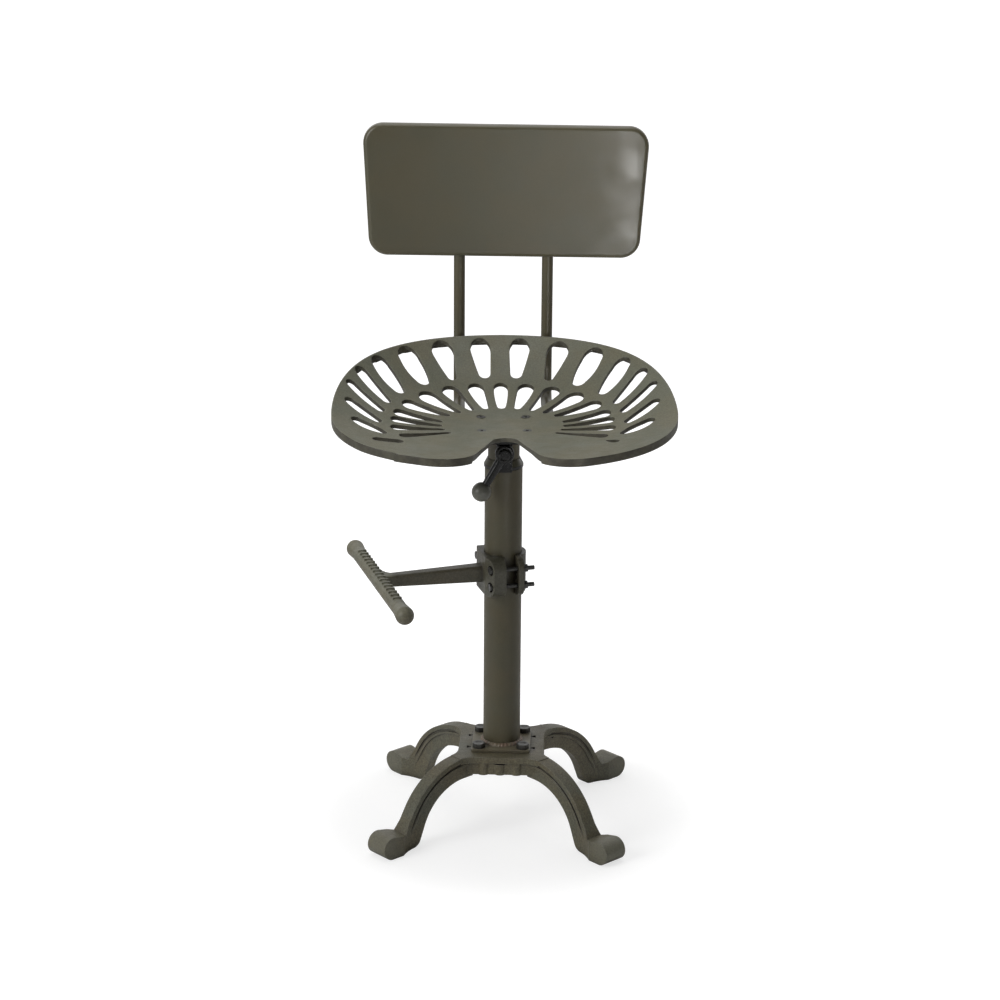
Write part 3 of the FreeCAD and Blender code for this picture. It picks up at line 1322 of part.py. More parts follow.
BACK_LEAN = "((back_top_width - back_bottom_width) / 2 / back_height)"
BACK_SLOPE = f"(atan({BACK_LEAN}) / 1deg)"


def panel_outline(sketch, inset):
    """The backrest's outline, with sides that lean outwards, moved inwards by an inset."""
    radius = f"(back_corner - {inset})"
    below = f"({radius} * tan((90 - {BACK_SLOPE}) / 2))"
    above = f"({radius} * tan((90 + {BACK_SLOPE}) / 2))"
    foot, head = inset, f"(back_height - {inset})"
    low = f"(back_bottom_width / 2 + {foot} * {BACK_LEAN} - {inset} / cos({BACK_SLOPE}))"
    high = f"(back_bottom_width / 2 + {head} * {BACK_LEAN} - {inset} / cos({BACK_SLOPE}))"
    rim = [
        (f"({low} - {below})", foot),
        (f"({low} + {below} * sin({BACK_SLOPE}))", f"{foot} + {below} * cos({BACK_SLOPE})"),
        (f"({high} - {above} * sin({BACK_SLOPE}))", f"{head} - {above} * cos({BACK_SLOPE})"),
        (f"({high} - {above})", head),
    ]
    (a_x, a_y), (b_x, b_y), (c_x, c_y), (d_x, d_y) = rim
    return draw(sketch, [
        (a_x, a_y, radius, 1),
        (b_x, b_y),
        (c_x, c_y, radius, 1),
        (d_x, d_y),
        (f"-{d_x}", d_y, radius, 1),
        (f"-{c_x}", c_y),
        (f"-{b_x}", b_y, radius, 1),
        (f"-{a_x}", a_y),
    ])


def backrest_panel():
    """Pressed tray with round corners and turned-back edges, notched below for the rods."""
    body = new_body("backrest_panel")
    outline = panel_outline(new_sketch(body, "panel_outline", "XZ_Plane"), "0")
    blank = pad(body, outline, "back_edge", "blank", backwards=True)
    fillet(body, blank, "back_edge_round", at_depth("0"), "edge_rounding")
    inner = new_sketch(body, "hollow_outline", "XZ_Plane", lift="-back_edge")
    panel_outline(inner, "back_sheet")
    hollow = pocket(body, inner, "hollow", "back_edge - back_sheet", backwards=True)
    fillet(body, hollow, "back_edge_round - back_sheet", at_depth("back_sheet"),
           "inner_rounding")
    notch = new_sketch(body, "rod_notch_plan", lift="-overlap")
    clear = "(rod_diameter / 2 + rod_slot_gap)"
    for side in ("", "-"):
        x = f"({side}rod_spread / 2 - back_across)"
        draw(notch, [
            (f"{x} - {clear}", "back_sheet"),
            (f"{x} + {clear}", "back_sheet"),
            (f"{x} + {clear}", "back_edge + overlap"),
            (f"{x} - {clear}", "back_edge + overlap"),
        ])
    pocket(body, notch, "rod_notches", "back_edge_round + overlap", backwards=True)
    place(body, x="rods_across + back_across", y=BACK_FRONT, z="back_bottom",
          axis=Vector(0, 1, 0), turn="back_tilt")
    return finished(body)


# Footrest, in its own axes: the arm runs along +X from the column's axis

CLAMP_BORE = "(column_diameter / 2 + fit_gap)"
BOLT_SPOTS = [(y, z) for y in ("clamp_bolt_across / 2", "-clamp_bolt_across / 2")
              for z in ("(clamp_height - clamp_bolt_up) / 2", "(clamp_height + clamp_bolt_up) / 2")]
SPOT_SEAT = ("((saddle_edge + (saddle_crown - saddle_edge) * (clamp_half - clamp_bolt_across / 2)"
             " / (clamp_half - saddle_crown_half)) - spot_depth)")


def at_depth(formula):
    """A test for edges at one depth behind the body's XZ plane."""
    depth = number(formula)
    return lambda a, b: abs(a.y - depth) < 0.01 and abs(b.y - depth) < 0.01


def flange_corner(a, b):
    """An edge that crosses the flange's thickness at one of its four outer corners."""
    half, height = number("clamp_half"), number("clamp_height")
    across = abs(a.x - b.x) > 1 and abs(a.z - b.z) < 0.01
    at_end = abs(abs(a.y) - half) < 0.01 and abs(abs(b.y) - half) < 0.01
    at_corner = a.z < 0.01 or abs(a.z - height) < 0.01
    return across and at_end and at_corner


def clamp_bolt_holes(body, name):
    holes = new_sketch(body, f"{name}_plan", "YZ_Plane")
    for y, z in BOLT_SPOTS:
        draw_circle(holes, y, z, "clamp_bolt_diameter / 2 + hole_clearance")
    return pocket(body, holes, name, "4 * saddle_crown", both_ways=True)


def footrest_arm():
    body = new_body("footrest_arm")
    chord = f"sqrt({CLAMP_BORE}^2 - saddle_face^2)"
    plan = draw(new_sketch(body, "saddle_plan"), [
        ("saddle_face", "-clamp_half"),
        ("saddle_edge", "-clamp_half"),
        ("saddle_crown", "-saddle_crown_half"),
        ("saddle_crown", "saddle_crown_half"),
        ("saddle_edge", "clamp_half"),
        ("saddle_face", "clamp_half"),
        ("saddle_face", chord, CLAMP_BORE, -1),
        ("saddle_face", f"-{chord}"),
    ])
    saddle = pad(body, plan, "clamp_height", "saddle")
    fillet(body, saddle, "clamp_round", flange_corner, "flange_rounding")
    spots = new_sketch(body, "spot_plan", "YZ_Plane", lift=SPOT_SEAT)
    for y, z in BOLT_SPOTS:
        draw_circle(spots, y, z, "spot_diameter / 2")
    pocket(body, spots, "bolt_seats", "saddle_crown", backwards=True)
    clamp_bolt_holes(body, "saddle_bolt_holes")

    # Arm, tapering from the saddle to the bar
    middle = "(arm_height - clamp_bottom)"
    sections = []
    for name, width, depth, lift in (
        ("arm_root", "arm_root_width", "arm_root_depth", "saddle_crown - 2 * overlap"),
        ("arm_end", "arm_end_width", "arm_end_depth", "bar_reach"),
    ):
        section = new_sketch(body, f"{name}_section", "YZ_Plane", lift=lift)
        bind(section, AttachmentOffset__Base__y=middle)
        sections.append(draw_rounded_box(section, f"{width} / 2", f"{depth} / 2", "arm_round"))
    arm = body.newObject("PartDesign::AdditiveLoft", "arm_taper")
    arm.Profile = sections[0]
    arm.Sections = [sections[1]]

    # Webs with hollow curves between the arm and the bar
    half, inside = "(arm_end_width / 2 - overlap)", "(bar_reach - bar_diameter / 2 + overlap)"
    webs = new_sketch(body, "web_plan", lift=middle)
    far, near = "bar_blend_far", "bar_blend_near"
    draw(webs, [
        ("bar_reach", f"-({half} + {far})"),
        ("bar_reach", f"{half} + {near}"),
        (inside, f"{half} + {near}", near, -1),
        (f"{inside} - {near}", half),
        (f"{inside} - {far}", half),
        (f"{inside} - {far}", f"-{half}", far, -1),
        (inside, f"-({half} + {far})"),
    ])
    pad(body, webs, "bar_web_depth", "webs", both_ways=True)

    # Bar, turned about its own length
    radius, end = "(bar_diameter / 2)", "(bar_end_diameter / 2)"
    reach = "(bar_length / 2)"
    profile = new_sketch(body, "bar_section", lift=middle, across="bar_reach")
    draw(profile, [
        ("0", f"-({reach} + {end})", end, 1),
        (end, f"-{reach}"),
        (radius, f"bar_swell - {reach}"),
        (radius, f"{reach} - bar_swell"),
        (end, reach, end, 1),
        ("0", f"{reach} + {end}"),
    ])
    bar = body.newObject("PartDesign::Revolution", "bar")
    bar.Profile = profile
    bar.ReferenceAxis = (profile, ["V_Axis"])
    bar.Angle = 360

    # Low grips across the top of the bar
    grip_plan = new_sketch(body, "grip_plan", lift=middle, across="bar_reach")
    count = int(number("grip_count"))
    for k in range(count):
        y = f"({k} - {count - 1} / 2) * grip_pitch"
        draw(grip_plan, [
            ("-grip_width / 2", f"{y} - grip_length / 2"),
            ("grip_width / 2", f"{y} - grip_length / 2"),
            ("grip_width / 2", f"{y} + grip_length / 2"),
            ("-grip_width / 2", f"{y} + grip_length / 2"),
        ])
    pad(body, grip_plan, f"{radius} + grip_rise", "grips")
    place(body, z="clamp_bottom", turn="arm_azimuth")
    return finished(body)


def clamp_cap():
    body = new_body("clamp_cap")
    back = "(cap_face + cap_flange)"
    chord = f"sqrt({CLAMP_BORE}^2 - cap_face^2)"
    wrap = f"sqrt(cap_band^2 - {back}^2)"
    plan = draw(new_sketch(body, "cap_plan"), [
        ("-cap_face", "clamp_half"),
        (f"-{back}", "clamp_half"),
        (f"-{back}", wrap, "cap_band", 1),
        (f"-{back}", f"-{wrap}"),
        (f"-{back}", "-clamp_half"),
        ("-cap_face", "-clamp_half"),
        ("-cap_face", f"-{chord}", CLAMP_BORE, -1),
        ("-cap_face", chord),
    ])
    strap = pad(body, plan, "clamp_height", "strap")
    fillet(body, strap, "clamp_round", flange_corner, "flange_rounding_cap")
    clamp_bolt_holes(body, "cap_bolt_holes")
    place(body, z="clamp_bottom", turn="arm_azimuth")
    return finished(body)


def clamp_fasteners():
    """Four bolts across the clamp; heads on the arm's side, washers and nuts on the cap's."""
    back = "(cap_face + cap_flange)"
    length = f"{SPOT_SEAT} + {back} + clamp_washer + clamp_nut + clamp_bolt_tail"
    bolt = hex_bolt("clamp_bolt", "clamp_bolt_flats", "clamp_bolt_head", "bolt_dish / 2",
                    "clamp_bolt_diameter / 2", length)
    washer = ring("clamp_washer_one", "clamp_bolt_diameter / 2 + hole_clearance",
                  "clamp_washer_diameter / 2", "clamp_washer")
    nut = hex_nut("clamp_nut_one", "clamp_bolt_flats", "clamp_nut",
                  "clamp_bolt_diameter / 2 + thread_gap", "0")
    doc.recompute()
    upright_to_arm = Rotation(Vector(0, 1, 0), 90)
    sets = (
        ("clamp_bolts", bolt, number(SPOT_SEAT)),
        ("clamp_washers", washer, -number(f"{back} + clamp_washer")),
        ("clamp_nuts", nut, -number(f"{back} + clamp_washer + clamp_nut")),
    )
    for label, pattern, x in sets:
        copies = []
        for y, z in BOLT_SPOTS:
            copy = pattern.Shape.copy()
            copy.Placement = Placement(Vector(x, number(y), number(z)), upright_to_arm)
            copies.append(copy)
        feature = doc.addObject("Part::Feature", label)
        feature.Label = label
        feature.Shape = Part.makeCompound(copies)
        place(feature, z="clamp_bottom", turn="arm_azimuth")
        finished(feature)


# The whole stool

base_casting()
base_plate()
base_bolts()
column()
top_collar()
lock_block()
collar_screws()
lock_screw()
lock_lever()
lever_knob()
lever_cap()
stem()
swivel()
seat_bracket()
seat, seat_shape = seat_pan()
seat_fasteners(seat_shape)
back_rod("back_rod_left", "-")
back_rod("back_rod_right", "")
backrest_panel()
footrest_arm()
clamp_cap()
clamp_fasteners()
doc.recompute()

failed = [thing.Label for thing in doc.Objects if {"Invalid", "Error"} & set(thing.State)]
for part in subparts:
    if part.Shape.isNull() or not part.Shape.isValid() or not part.Shape.Solids:
        failed.append(part.Label)
if failed:
    raise RuntimeError("these objects did not build: " + ", ".join(sorted(set(failed))))

os.makedirs("parts", exist_ok=True)
for part in subparts:
    part.Shape.exportStep(os.path.join("parts", part.Label + ".step"))
print(len(subparts), "sub-parts written")
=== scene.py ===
import math

import bpy
from mathutils import Matrix, Vector


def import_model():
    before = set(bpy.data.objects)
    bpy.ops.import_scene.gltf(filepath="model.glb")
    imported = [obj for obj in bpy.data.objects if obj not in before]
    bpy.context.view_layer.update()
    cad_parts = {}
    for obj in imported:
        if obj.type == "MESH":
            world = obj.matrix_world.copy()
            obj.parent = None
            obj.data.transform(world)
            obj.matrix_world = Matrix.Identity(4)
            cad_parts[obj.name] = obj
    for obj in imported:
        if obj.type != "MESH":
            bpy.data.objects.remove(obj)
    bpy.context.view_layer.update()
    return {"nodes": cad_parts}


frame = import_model()
nodes = frame["nodes"]

# Places on the stool, in metres
COLUMN_RADIUS = 0.0254
PLATE_TOP = 0.111
COLLAR_STEP = 0.5086
BAR_REACH = 0.172
ARM_HEIGHT = 0.3568
TOE_REACH = 0.211

# Paint patterns: noise scales are features per metre
PATCH_SCALE = 14.0
WEAR_SCALE = 70.0
LUMP_SCALE = 95.0
SHEEN_SCALE = 38.0
LUMP_HEIGHT = 0.0012
GRAIN_HEIGHT = 0.0005
CREVICE_REACH = 0.014
EDGE_GAIN = 0.35
WARM_SHIFT = (0.09, 0.01, -0.08)
COOL_SHIFT = (-0.09, -0.03, 0.03)


# Shader helpers

class Shader:
    """A material's node tree, with short calls to add and link nodes."""

    def __init__(self, name):
        self.material = bpy.data.materials.new(name)
        self.material.use_nodes = True
        self.tree = self.material.node_tree
        self.tree.nodes.clear()

    def add(self, kind, **settings):
        node = self.tree.nodes.new(kind)
        for key, value in settings.items():
            setattr(node, key, value)
        return node

    def link(self, source, target):
        self.tree.links.new(source, target)

    def set(self, node, **values):
        """Set sockets by name; two underscores stand for a space."""
        for key, value in values.items():
            node.inputs[key.replace("__", " ")].default_value = value
        return node

    def noise(self, scale, detail=3.0, roughness=0.5, stretch=(1, 1, 1)):
        """A noise over the object's own space; returns its value socket."""
        place = self.add("ShaderNodeTexCoord")
        mapping = self.set(self.add("ShaderNodeMapping"), Scale=stretch)
        self.link(place.outputs["Object"], mapping.inputs["Vector"])
        texture = self.set(self.add("ShaderNodeTexNoise"), Scale=scale, Detail=detail,
                           Roughness=roughness)
        self.link(mapping.outputs["Vector"], texture.inputs["Vector"])
        return texture.outputs["Fac"]

    def ramp(self, source, low, high, to_low=0.0, to_high=1.0):
        """Map a value range smoothly on another."""
        node = self.add("ShaderNodeMapRange", interpolation_type="SMOOTHSTEP")
        node.inputs["From Min"].default_value = low
        node.inputs["From Max"].default_value = high
        node.inputs["To Min"].default_value = to_low
        node.inputs["To Max"].default_value = to_high
        self.link(source, node.inputs["Value"])
        return node.outputs["Result"]

    def math(self, operation, a, b=0.0):
        node = self.add("ShaderNodeMath", operation=operation)
        for socket, value in zip(node.inputs, (a, b)):
            if isinstance(value, (int, float)):
                socket.default_value = value
            else:
                self.link(value, socket)
        return node.outputs["Value"]

    def mix(self, factor, a, b):
        """Mix two colours, each a tuple or a socket."""
        node = self.add("ShaderNodeMix", data_type="RGBA")
        sockets = (node.inputs[0], node.inputs[6], node.inputs[7])
        for socket, value in zip(sockets, (factor, a, b)):
            if isinstance(value, tuple):
                socket.default_value = (*value, 1.0)
            elif isinstance(value, float):
                socket.default_value = value
            else:
                self.link(value, socket)
        return node.outputs[2]

    def scaled(self, colour, factor):
        """A colour times a value."""
        node = self.add("ShaderNodeVectorMath", operation="SCALE")
        self.link(colour, node.inputs[0])
        self.link(factor, node.inputs["Scale"])
        return node.outputs["Vector"]

    def axes(self):
        """X, Y and Z in the object's own space, which is the stool's."""
        place = self.add("ShaderNodeTexCoord")
        split = self.add("ShaderNodeSeparateXYZ")
        self.link(place.outputs["Object"], split.inputs["Vector"])
        return split.outputs["X"], split.outputs["Y"], split.outputs["Z"]

    def from_axis(self, x, y):
        """Distance from the column's axis."""
        squares = [self.math("MULTIPLY", side, side) for side in (x, y)]
        return self.math("SQRT", self.math("ADD", *squares))

    def wear_and_light_patches(self, scale, least):
        """Patches from a least amount up to 1: wear on the toes, painted shade and painted
        highlight elsewhere.
        """
        return self.ramp(self.noise(scale, 4.0), 0.3, 0.65, least, 1.0)

    def softened(self, radius):
        """Normal rounded over the edges of the CAD mesh."""
        bevel = self.add("ShaderNodeBevel", samples=6)
        bevel.inputs["Radius"].default_value = radius
        return bevel.outputs["Normal"]

    def edges(self, radius):
        """About 0 on faces and up to 1 along edges."""
        rounded = self.softened(radius)
        flat = self.add("ShaderNodeNewGeometry").outputs["True Normal"]
        dot = self.add("ShaderNodeVectorMath", operation="DOT_PRODUCT")
        self.link(rounded, dot.inputs[0])
        self.link(flat, dot.inputs[1])
        return self.ramp(dot.outputs["Value"], 1.0, 1.0 - EDGE_GAIN)

    def crevices(self, distance):
        """1 in the open and towards 0 in hollows and gaps."""
        node = self.add("ShaderNodeAmbientOcclusion", samples=6)
        node.inputs["Distance"].default_value = distance
        return node.outputs["AO"]

    def bump(self, height, strength, distance, normal):
        node = self.set(self.add("ShaderNodeBump"), Strength=strength, Distance=distance)
        self.link(height, node.inputs["Height"])
        self.link(normal, node.inputs["Normal"])
        return node.outputs["Normal"]


def painted(name, base, worn, shade_colour, roughness, grain=0.3, grain_scale=500.0, lumps=0.0,
            edge_radius=0.001, wear=0.4, mottle=1.0, metallic=0.0, gloss=0.5, shade_depth=0.8,
            extra=None):
    """Paint over metal: mottled colour, worn edges, painted shade in hollows and a fine grain.

    Lumps is the strength of a coarse cast unevenness. The depth argument sets how strong the
    painted shade in hollows and gaps is, and the dark argument gives its colour. Extra may
    change the colour and the normal: it is called with the shader and both sockets, and gives
    both back.
    """
    shader = Shader(name)
    bsdf = shader.add("ShaderNodeBsdfPrincipled")
    bsdf.inputs["Metallic"].default_value = metallic
    bsdf.inputs["Specular IOR Level"].default_value = gloss
    patches = shader.ramp(shader.noise(PATCH_SCALE, 5.0, 0.62), 0.36, 0.66)
    warm = tuple(c * (1 + shift * mottle) for c, shift in zip(base, WARM_SHIFT))
    cool = tuple(c * (1 + shift * mottle) for c, shift in zip(base, COOL_SHIFT))
    colour = shader.mix(patches, warm, cool)
    fine = shader.noise(grain_scale, 3.0, 0.6)
    speckle = shader.ramp(fine, 0.3, 0.72, 1.0 - 0.3 * grain, 1.0 + 0.36 * grain)
    colour = shader.scaled(colour, speckle)
    # Edge wear only: edges turn paler in patches.
    wear_and_highlight = shader.math("MULTIPLY", shader.edges(edge_radius),
                         shader.ramp(shader.noise(WEAR_SCALE), 0.35, 0.6, 0.15, 1.0))
    colour = shader.mix(shader.math("MULTIPLY", wear_and_highlight, wear), colour, worn)
    # Painted shade: hollows and gaps are darkened towards the shade colour by ambient
    # occlusion.
    painted_shade = shader.ramp(shader.crevices(CREVICE_REACH), 0.2, 0.92, shade_depth, 0.0)
    colour = shader.mix(painted_shade, colour, shade_colour)
    rough = shader.ramp(shader.noise(SHEEN_SCALE), 0.3, 0.7, roughness - 0.05, roughness + 0.06)
    normal = shader.softened(edge_radius)
    if lumps:
        normal = shader.bump(shader.noise(LUMP_SCALE, 3.0, 0.55), lumps, LUMP_HEIGHT, normal)
    normal = shader.bump(fine, grain, GRAIN_HEIGHT, normal)
    if extra:
        colour, normal = extra(shader, colour, normal)
    shader.link(colour, bsdf.inputs["Base Color"])
    shader.link(rough, bsdf.inputs["Roughness"])
    shader.link(normal, bsdf.inputs["Normal"])
    output = shader.add("ShaderNodeOutputMaterial")
    shader.link(bsdf.outputs["BSDF"], output.inputs["Surface"])
    return shader.material


def metal(name, base, roughness, edge_radius):
    """Turned bare steel."""
    shader = Shader(name)
    bsdf = shader.add("ShaderNodeBsdfPrincipled")
    bsdf.inputs["Metallic"].default_value = 1.0
    rings = shader.noise(400.0, 2.0, 0.5, (1, 1, 0.05))
    colour = shader.mix(rings, tuple(c * 0.85 for c in base), base)
    shader.link(colour, bsdf.inputs["Base Color"])
    rough = shader.ramp(rings, 0.3, 0.7, roughness - 0.05, roughness + 0.1)
    shader.link(rough, bsdf.inputs["Roughness"])
    shader.link(shader.softened(edge_radius), bsdf.inputs["Normal"])
    output = shader.add("ShaderNodeOutputMaterial")
    shader.link(bsdf.outputs["BSDF"], output.inputs["Surface"])
    return shader.material


# Details that only one material has

def weld_beads(shader, colour, normal):
    """Rippled weld round the column's foot, with a reddish brown edge."""
    x, y, z = shader.axes()
    beads_round = 34.0
    beside_tube = shader.ramp(shader.from_axis(x, y), COLUMN_RADIUS + 0.0054,
                              COLUMN_RADIUS + 0.0042)
    on_weld = shader.math("MULTIPLY", beside_tube,
                          shader.ramp(z, PLATE_TOP + 0.0002, PLATE_TOP + 0.0008))
    wobble = shader.math("MULTIPLY", shader.noise(60.0, 2.0), 6.0)
    turn = shader.math("MULTIPLY", shader.math("ARCTAN2", y, x), beads_round)
    ripple = shader.math("SINE", shader.math("ADD", turn, wobble))
    normal = shader.bump(shader.math("MULTIPLY", ripple, on_weld), 0.6, 0.0006, normal)
    scorch = shader.math("MULTIPLY", on_weld,
                         shader.ramp(shader.noise(120.0), 0.35, 0.7, 0.2, 0.9))
    return shader.mix(scorch, colour, SCORCHED), normal


def pressed(shader, colour, normal):
    """Slight unevenness of pressed sheet: the face bends back a little near its sides."""
    x, _, _ = shader.axes()
    bend_scale, bend_power = 5.2, 9.0
    bow = shader.math("POWER", shader.math("MULTIPLY", shader.math("ABSOLUTE", x), bend_scale),
                      bend_power)
    wave = shader.math("MULTIPLY", shader.noise(7.0, 1.0), 0.35)
    return colour, shader.bump(shader.math("SUBTRACT", wave, bow), 1.0, 0.0035, normal)


def bowl_side_shade(shader, colour, normal):
    """Seat: faces turning away from straight up are painted darker and browner, a painted
    shade.
    """
    facing = shader.add("ShaderNodeSeparateXYZ")
    shader.link(shader.add("ShaderNodeNewGeometry").outputs["True Normal"],
                facing.inputs["Vector"])
    # Painted shade on the rim's upright and downward faces, broken into patches.
    side = shader.ramp(facing.outputs["Z"], 0.62, 0.2, 0.0, 0.85)
    patchy_side_shade = shader.math("MULTIPLY", side, shader.wear_and_light_patches(60.0, 0.6))
    return shader.mix(patchy_side_shade, colour, SEAT_SIDE_SHADE), normal


def arm_shade_bar_highlight(shader, colour, normal):
    """Footrest: painted shade on the arm, and a patchy painted highlight on the bar's top."""
    x, y, z = shader.axes()
    on_bar = shader.ramp(shader.from_axis(x, y), BAR_REACH - 0.024, BAR_REACH - 0.01)
    # Painted shade: all but the bar is mixed halfway towards the shade colour.
    colour = shader.mix(on_bar, shader.mix(0.5, colour, SHADE), colour)
    # Painted highlight: the bar's top is mixed in patches towards a pale colour.
    upper = shader.ramp(z, ARM_HEIGHT - 0.0048, ARM_HEIGHT + 0.0092, 0.0, 0.5)
    top = shader.math("MULTIPLY", on_bar, upper)
    wear_and_highlight = shader.math("MULTIPLY", top, shader.wear_and_light_patches(55.0, 0.55))
    return shader.mix(wear_and_highlight, colour, BAR_HIGHLIGHT), normal


def worn_toes(shader, colour, normal):
    """Base: the rolled toes are paler than the legs."""
    x, y, _ = shader.axes()
    outer = shader.ramp(shader.from_axis(x, y), TOE_REACH - 0.031, TOE_REACH + 0.004, 0.0, 0.55)
    on_toe = shader.math("MULTIPLY", outer, shader.wear_and_light_patches(40.0, 0.6))
    return shader.mix(on_toe, colour, TOE_PALE), normal


def collar_tones(shader, colour, normal):
    """Black ring at the foot, painted taper above it."""
    _, _, z = shader.axes()
    above = shader.ramp(z, COLLAR_STEP, COLLAR_STEP + 0.0006)
    return shader.mix(above, colour, tuple(c * 0.8 for c in PAINT)), normal


# Materials, with linear colours

PAINT = (0.104, 0.097, 0.063)
SEAT_PAINT = (0.128, 0.126, 0.083)
PLATE_PAINT = (0.15, 0.137, 0.095)
SHEET_PAINT = (0.088, 0.08, 0.048)
TUBE_PAINT = (0.073, 0.064, 0.034)
RUBBED = (0.27, 0.255, 0.21)
SEAT_RUBBED = (0.34, 0.33, 0.275)
# Painted shade colour for hollows, gaps and the footrest arm.
SHADE = (0.022, 0.019, 0.013)
# Painted shade colour for the seat's upright faces.
SEAT_SIDE_SHADE = (0.034, 0.029, 0.02)
# Painted highlight colour for the footrest bar's top.
BAR_HIGHLIGHT = (0.23, 0.23, 0.17)
TOE_PALE = (0.175, 0.17, 0.13)
SCORCHED = (0.19, 0.125, 0.088)
BLACK_WORN = (0.16, 0.16, 0.15)
# Painted shade colour for hollows in the black finishes.
BLACK_SHADE = (0.005, 0.005, 0.005)

# In each painted material below, the third colour is the painted shade for hollows and gaps.
cast_paint = painted(
    "cast_paint", PAINT, RUBBED, SHADE, 0.47, grain=0.9, grain_scale=430.0, lumps=0.8,
    edge_radius=0.002, wear=0.85, shade_depth=1.0, extra=worn_toes)
foot_paint = painted(
    "foot_paint", PAINT, RUBBED, SHADE, 0.45, grain=0.8, grain_scale=430.0, lumps=0.6,
    edge_radius=0.0014, wear=0.6, shade_depth=1.0, extra=arm_shade_bar_highlight)
seat_paint = painted(
    "seat_paint", SEAT_PAINT, SEAT_RUBBED, SHADE, 0.42, grain=0.5, grain_scale=520.0,
    lumps=0.4, edge_radius=0.0023, wear=0.9, mottle=0.6, extra=bowl_side_shade)
tube_paint = painted(
    "tube_paint", TUBE_PAINT, RUBBED, SHADE, 0.42, grain=0.15, grain_scale=700.0,
    edge_radius=0.0008, wear=0.35, mottle=0.6)
plate_paint = painted(
    "plate_paint", PLATE_PAINT, RUBBED, SHADE, 0.42, grain=0.2, grain_scale=600.0,
    edge_radius=0.0008, wear=0.45, mottle=0.8, extra=weld_beads)
sheet_paint = painted(
    "sheet_paint", SHEET_PAINT, RUBBED, SHADE, 0.36, grain=0.1, grain_scale=600.0,
    edge_radius=0.0008, wear=0.35, mottle=0.4, extra=pressed)
black = painted(
    "black_finish", (0.009, 0.009, 0.0085), BLACK_WORN, BLACK_SHADE, 0.28, grain=0.12,
    edge_radius=0.0008, wear=0.25, mottle=0.3, gloss=0.32)
ball = painted(
    "ball_finish", (0.12, 0.116, 0.094), (0.2, 0.19, 0.165), (0.01, 0.01, 0.009), 0.36,
    grain=0.2, edge_radius=0.0008, mottle=0.5)
fastener = painted(
    "fastener_finish", (0.066, 0.065, 0.06), (0.25, 0.25, 0.24), (0.007, 0.007, 0.007), 0.32,
    grain=0.15, edge_radius=0.0006, wear=0.6, mottle=0.3, metallic=0.5)
collar = painted(
    "collar_finish", (0.016, 0.016, 0.015), BLACK_WORN, BLACK_SHADE, 0.34, grain=0.15,
    edge_radius=0.0008, mottle=0.3, extra=collar_tones)
steel = metal("turned_steel", (0.42, 0.41, 0.39), 0.32, 0.0004)
nylon = painted(
    "black_nylon", (0.03, 0.03, 0.03), (0.06, 0.06, 0.06), (0.01, 0.01, 0.01), 0.5,
    grain=0.1, edge_radius=0.0005, wear=0.2, mottle=0.1)

LOOKS = {
    cast_paint: ("base_casting",),
    foot_paint: ("footrest_arm", "clamp_cap"),
    seat_paint: ("seat_pan",),
    tube_paint: ("column_tube", "stem_tube", "back_rod_left", "back_rod_right"),
    plate_paint: ("base_plate",),
    sheet_paint: ("backrest_panel",),
    collar: ("top_collar",),
    black: ("lock_block", "collar_screws", "lock_lever", "lever_cap", "seat_bracket"),
    ball: ("lever_knob",),
    fastener: ("plate_bolts", "plate_washers", "plate_nuts", "seat_screws",
               "clamp_bolts", "clamp_washers", "clamp_nuts"),
    steel: ("lock_screw", "swivel_spindle", "spindle_washer", "spindle_nut"),
    nylon: ("stem_guide_ring", "stem_bush"),
}
for look, names in LOOKS.items():
    for name in names:
        data = nodes[name].data
        data.materials.clear()
        data.materials.append(look)


# Floor, world and lights

def floor():
    """Pale floor that shows white and keeps the stool's shadow, with a painted shadow near it.
    """
    size = 12.0
    shadow_inner, shadow_outer, glow_least = 0.2, 0.42, 0.68
    mesh = bpy.data.meshes.new("floor")
    corners = [(-size, -size, 0), (size, -size, 0), (size, size, 0), (-size, size, 0)]
    mesh.from_pydata(corners, [], [(0, 1, 2, 3)])
    thing = bpy.data.objects.new("floor", mesh)
    bpy.context.scene.collection.objects.link(thing)
    shader = Shader("floor")
    pale = shader.set(shader.add("ShaderNodeBsdfDiffuse"), Color=(0.8, 0.8, 0.8, 1))
    seen = shader.set(shader.add("ShaderNodeBsdfDiffuse"), Color=(0.4, 0.4, 0.4, 1))
    glow = shader.set(shader.add("ShaderNodeEmission"), Color=(1, 1, 1, 1))
    x, y, _ = shader.axes()
    # Painted shadow: near the stool the floor's glow is weaker, darkest towards its centre.
    glow_with_painted_shadow = shader.ramp(shader.from_axis(x, y), shadow_inner, shadow_outer, glow_least, 1.0)
    shader.link(glow_with_painted_shadow, glow.inputs["Strength"])
    both = shader.add("ShaderNodeAddShader")
    shader.link(seen.outputs["BSDF"], both.inputs[0])
    shader.link(glow.outputs["Emission"], both.inputs[1])
    path = shader.add("ShaderNodeLightPath")
    choice = shader.add("ShaderNodeMixShader")
    shader.link(path.outputs["Is Camera Ray"], choice.inputs["Fac"])
    shader.link(pale.outputs["BSDF"], choice.inputs[1])
    shader.link(both.outputs["Shader"], choice.inputs[2])
    output = shader.add("ShaderNodeOutputMaterial")
    shader.link(choice.outputs["Shader"], output.inputs["Surface"])
    mesh.materials.append(shader.material)


ROOM = {"all": 0.06, "above": 0.05, "behind": 0.75, "left": 0.05, "right": 0.05, "front": 0.0}


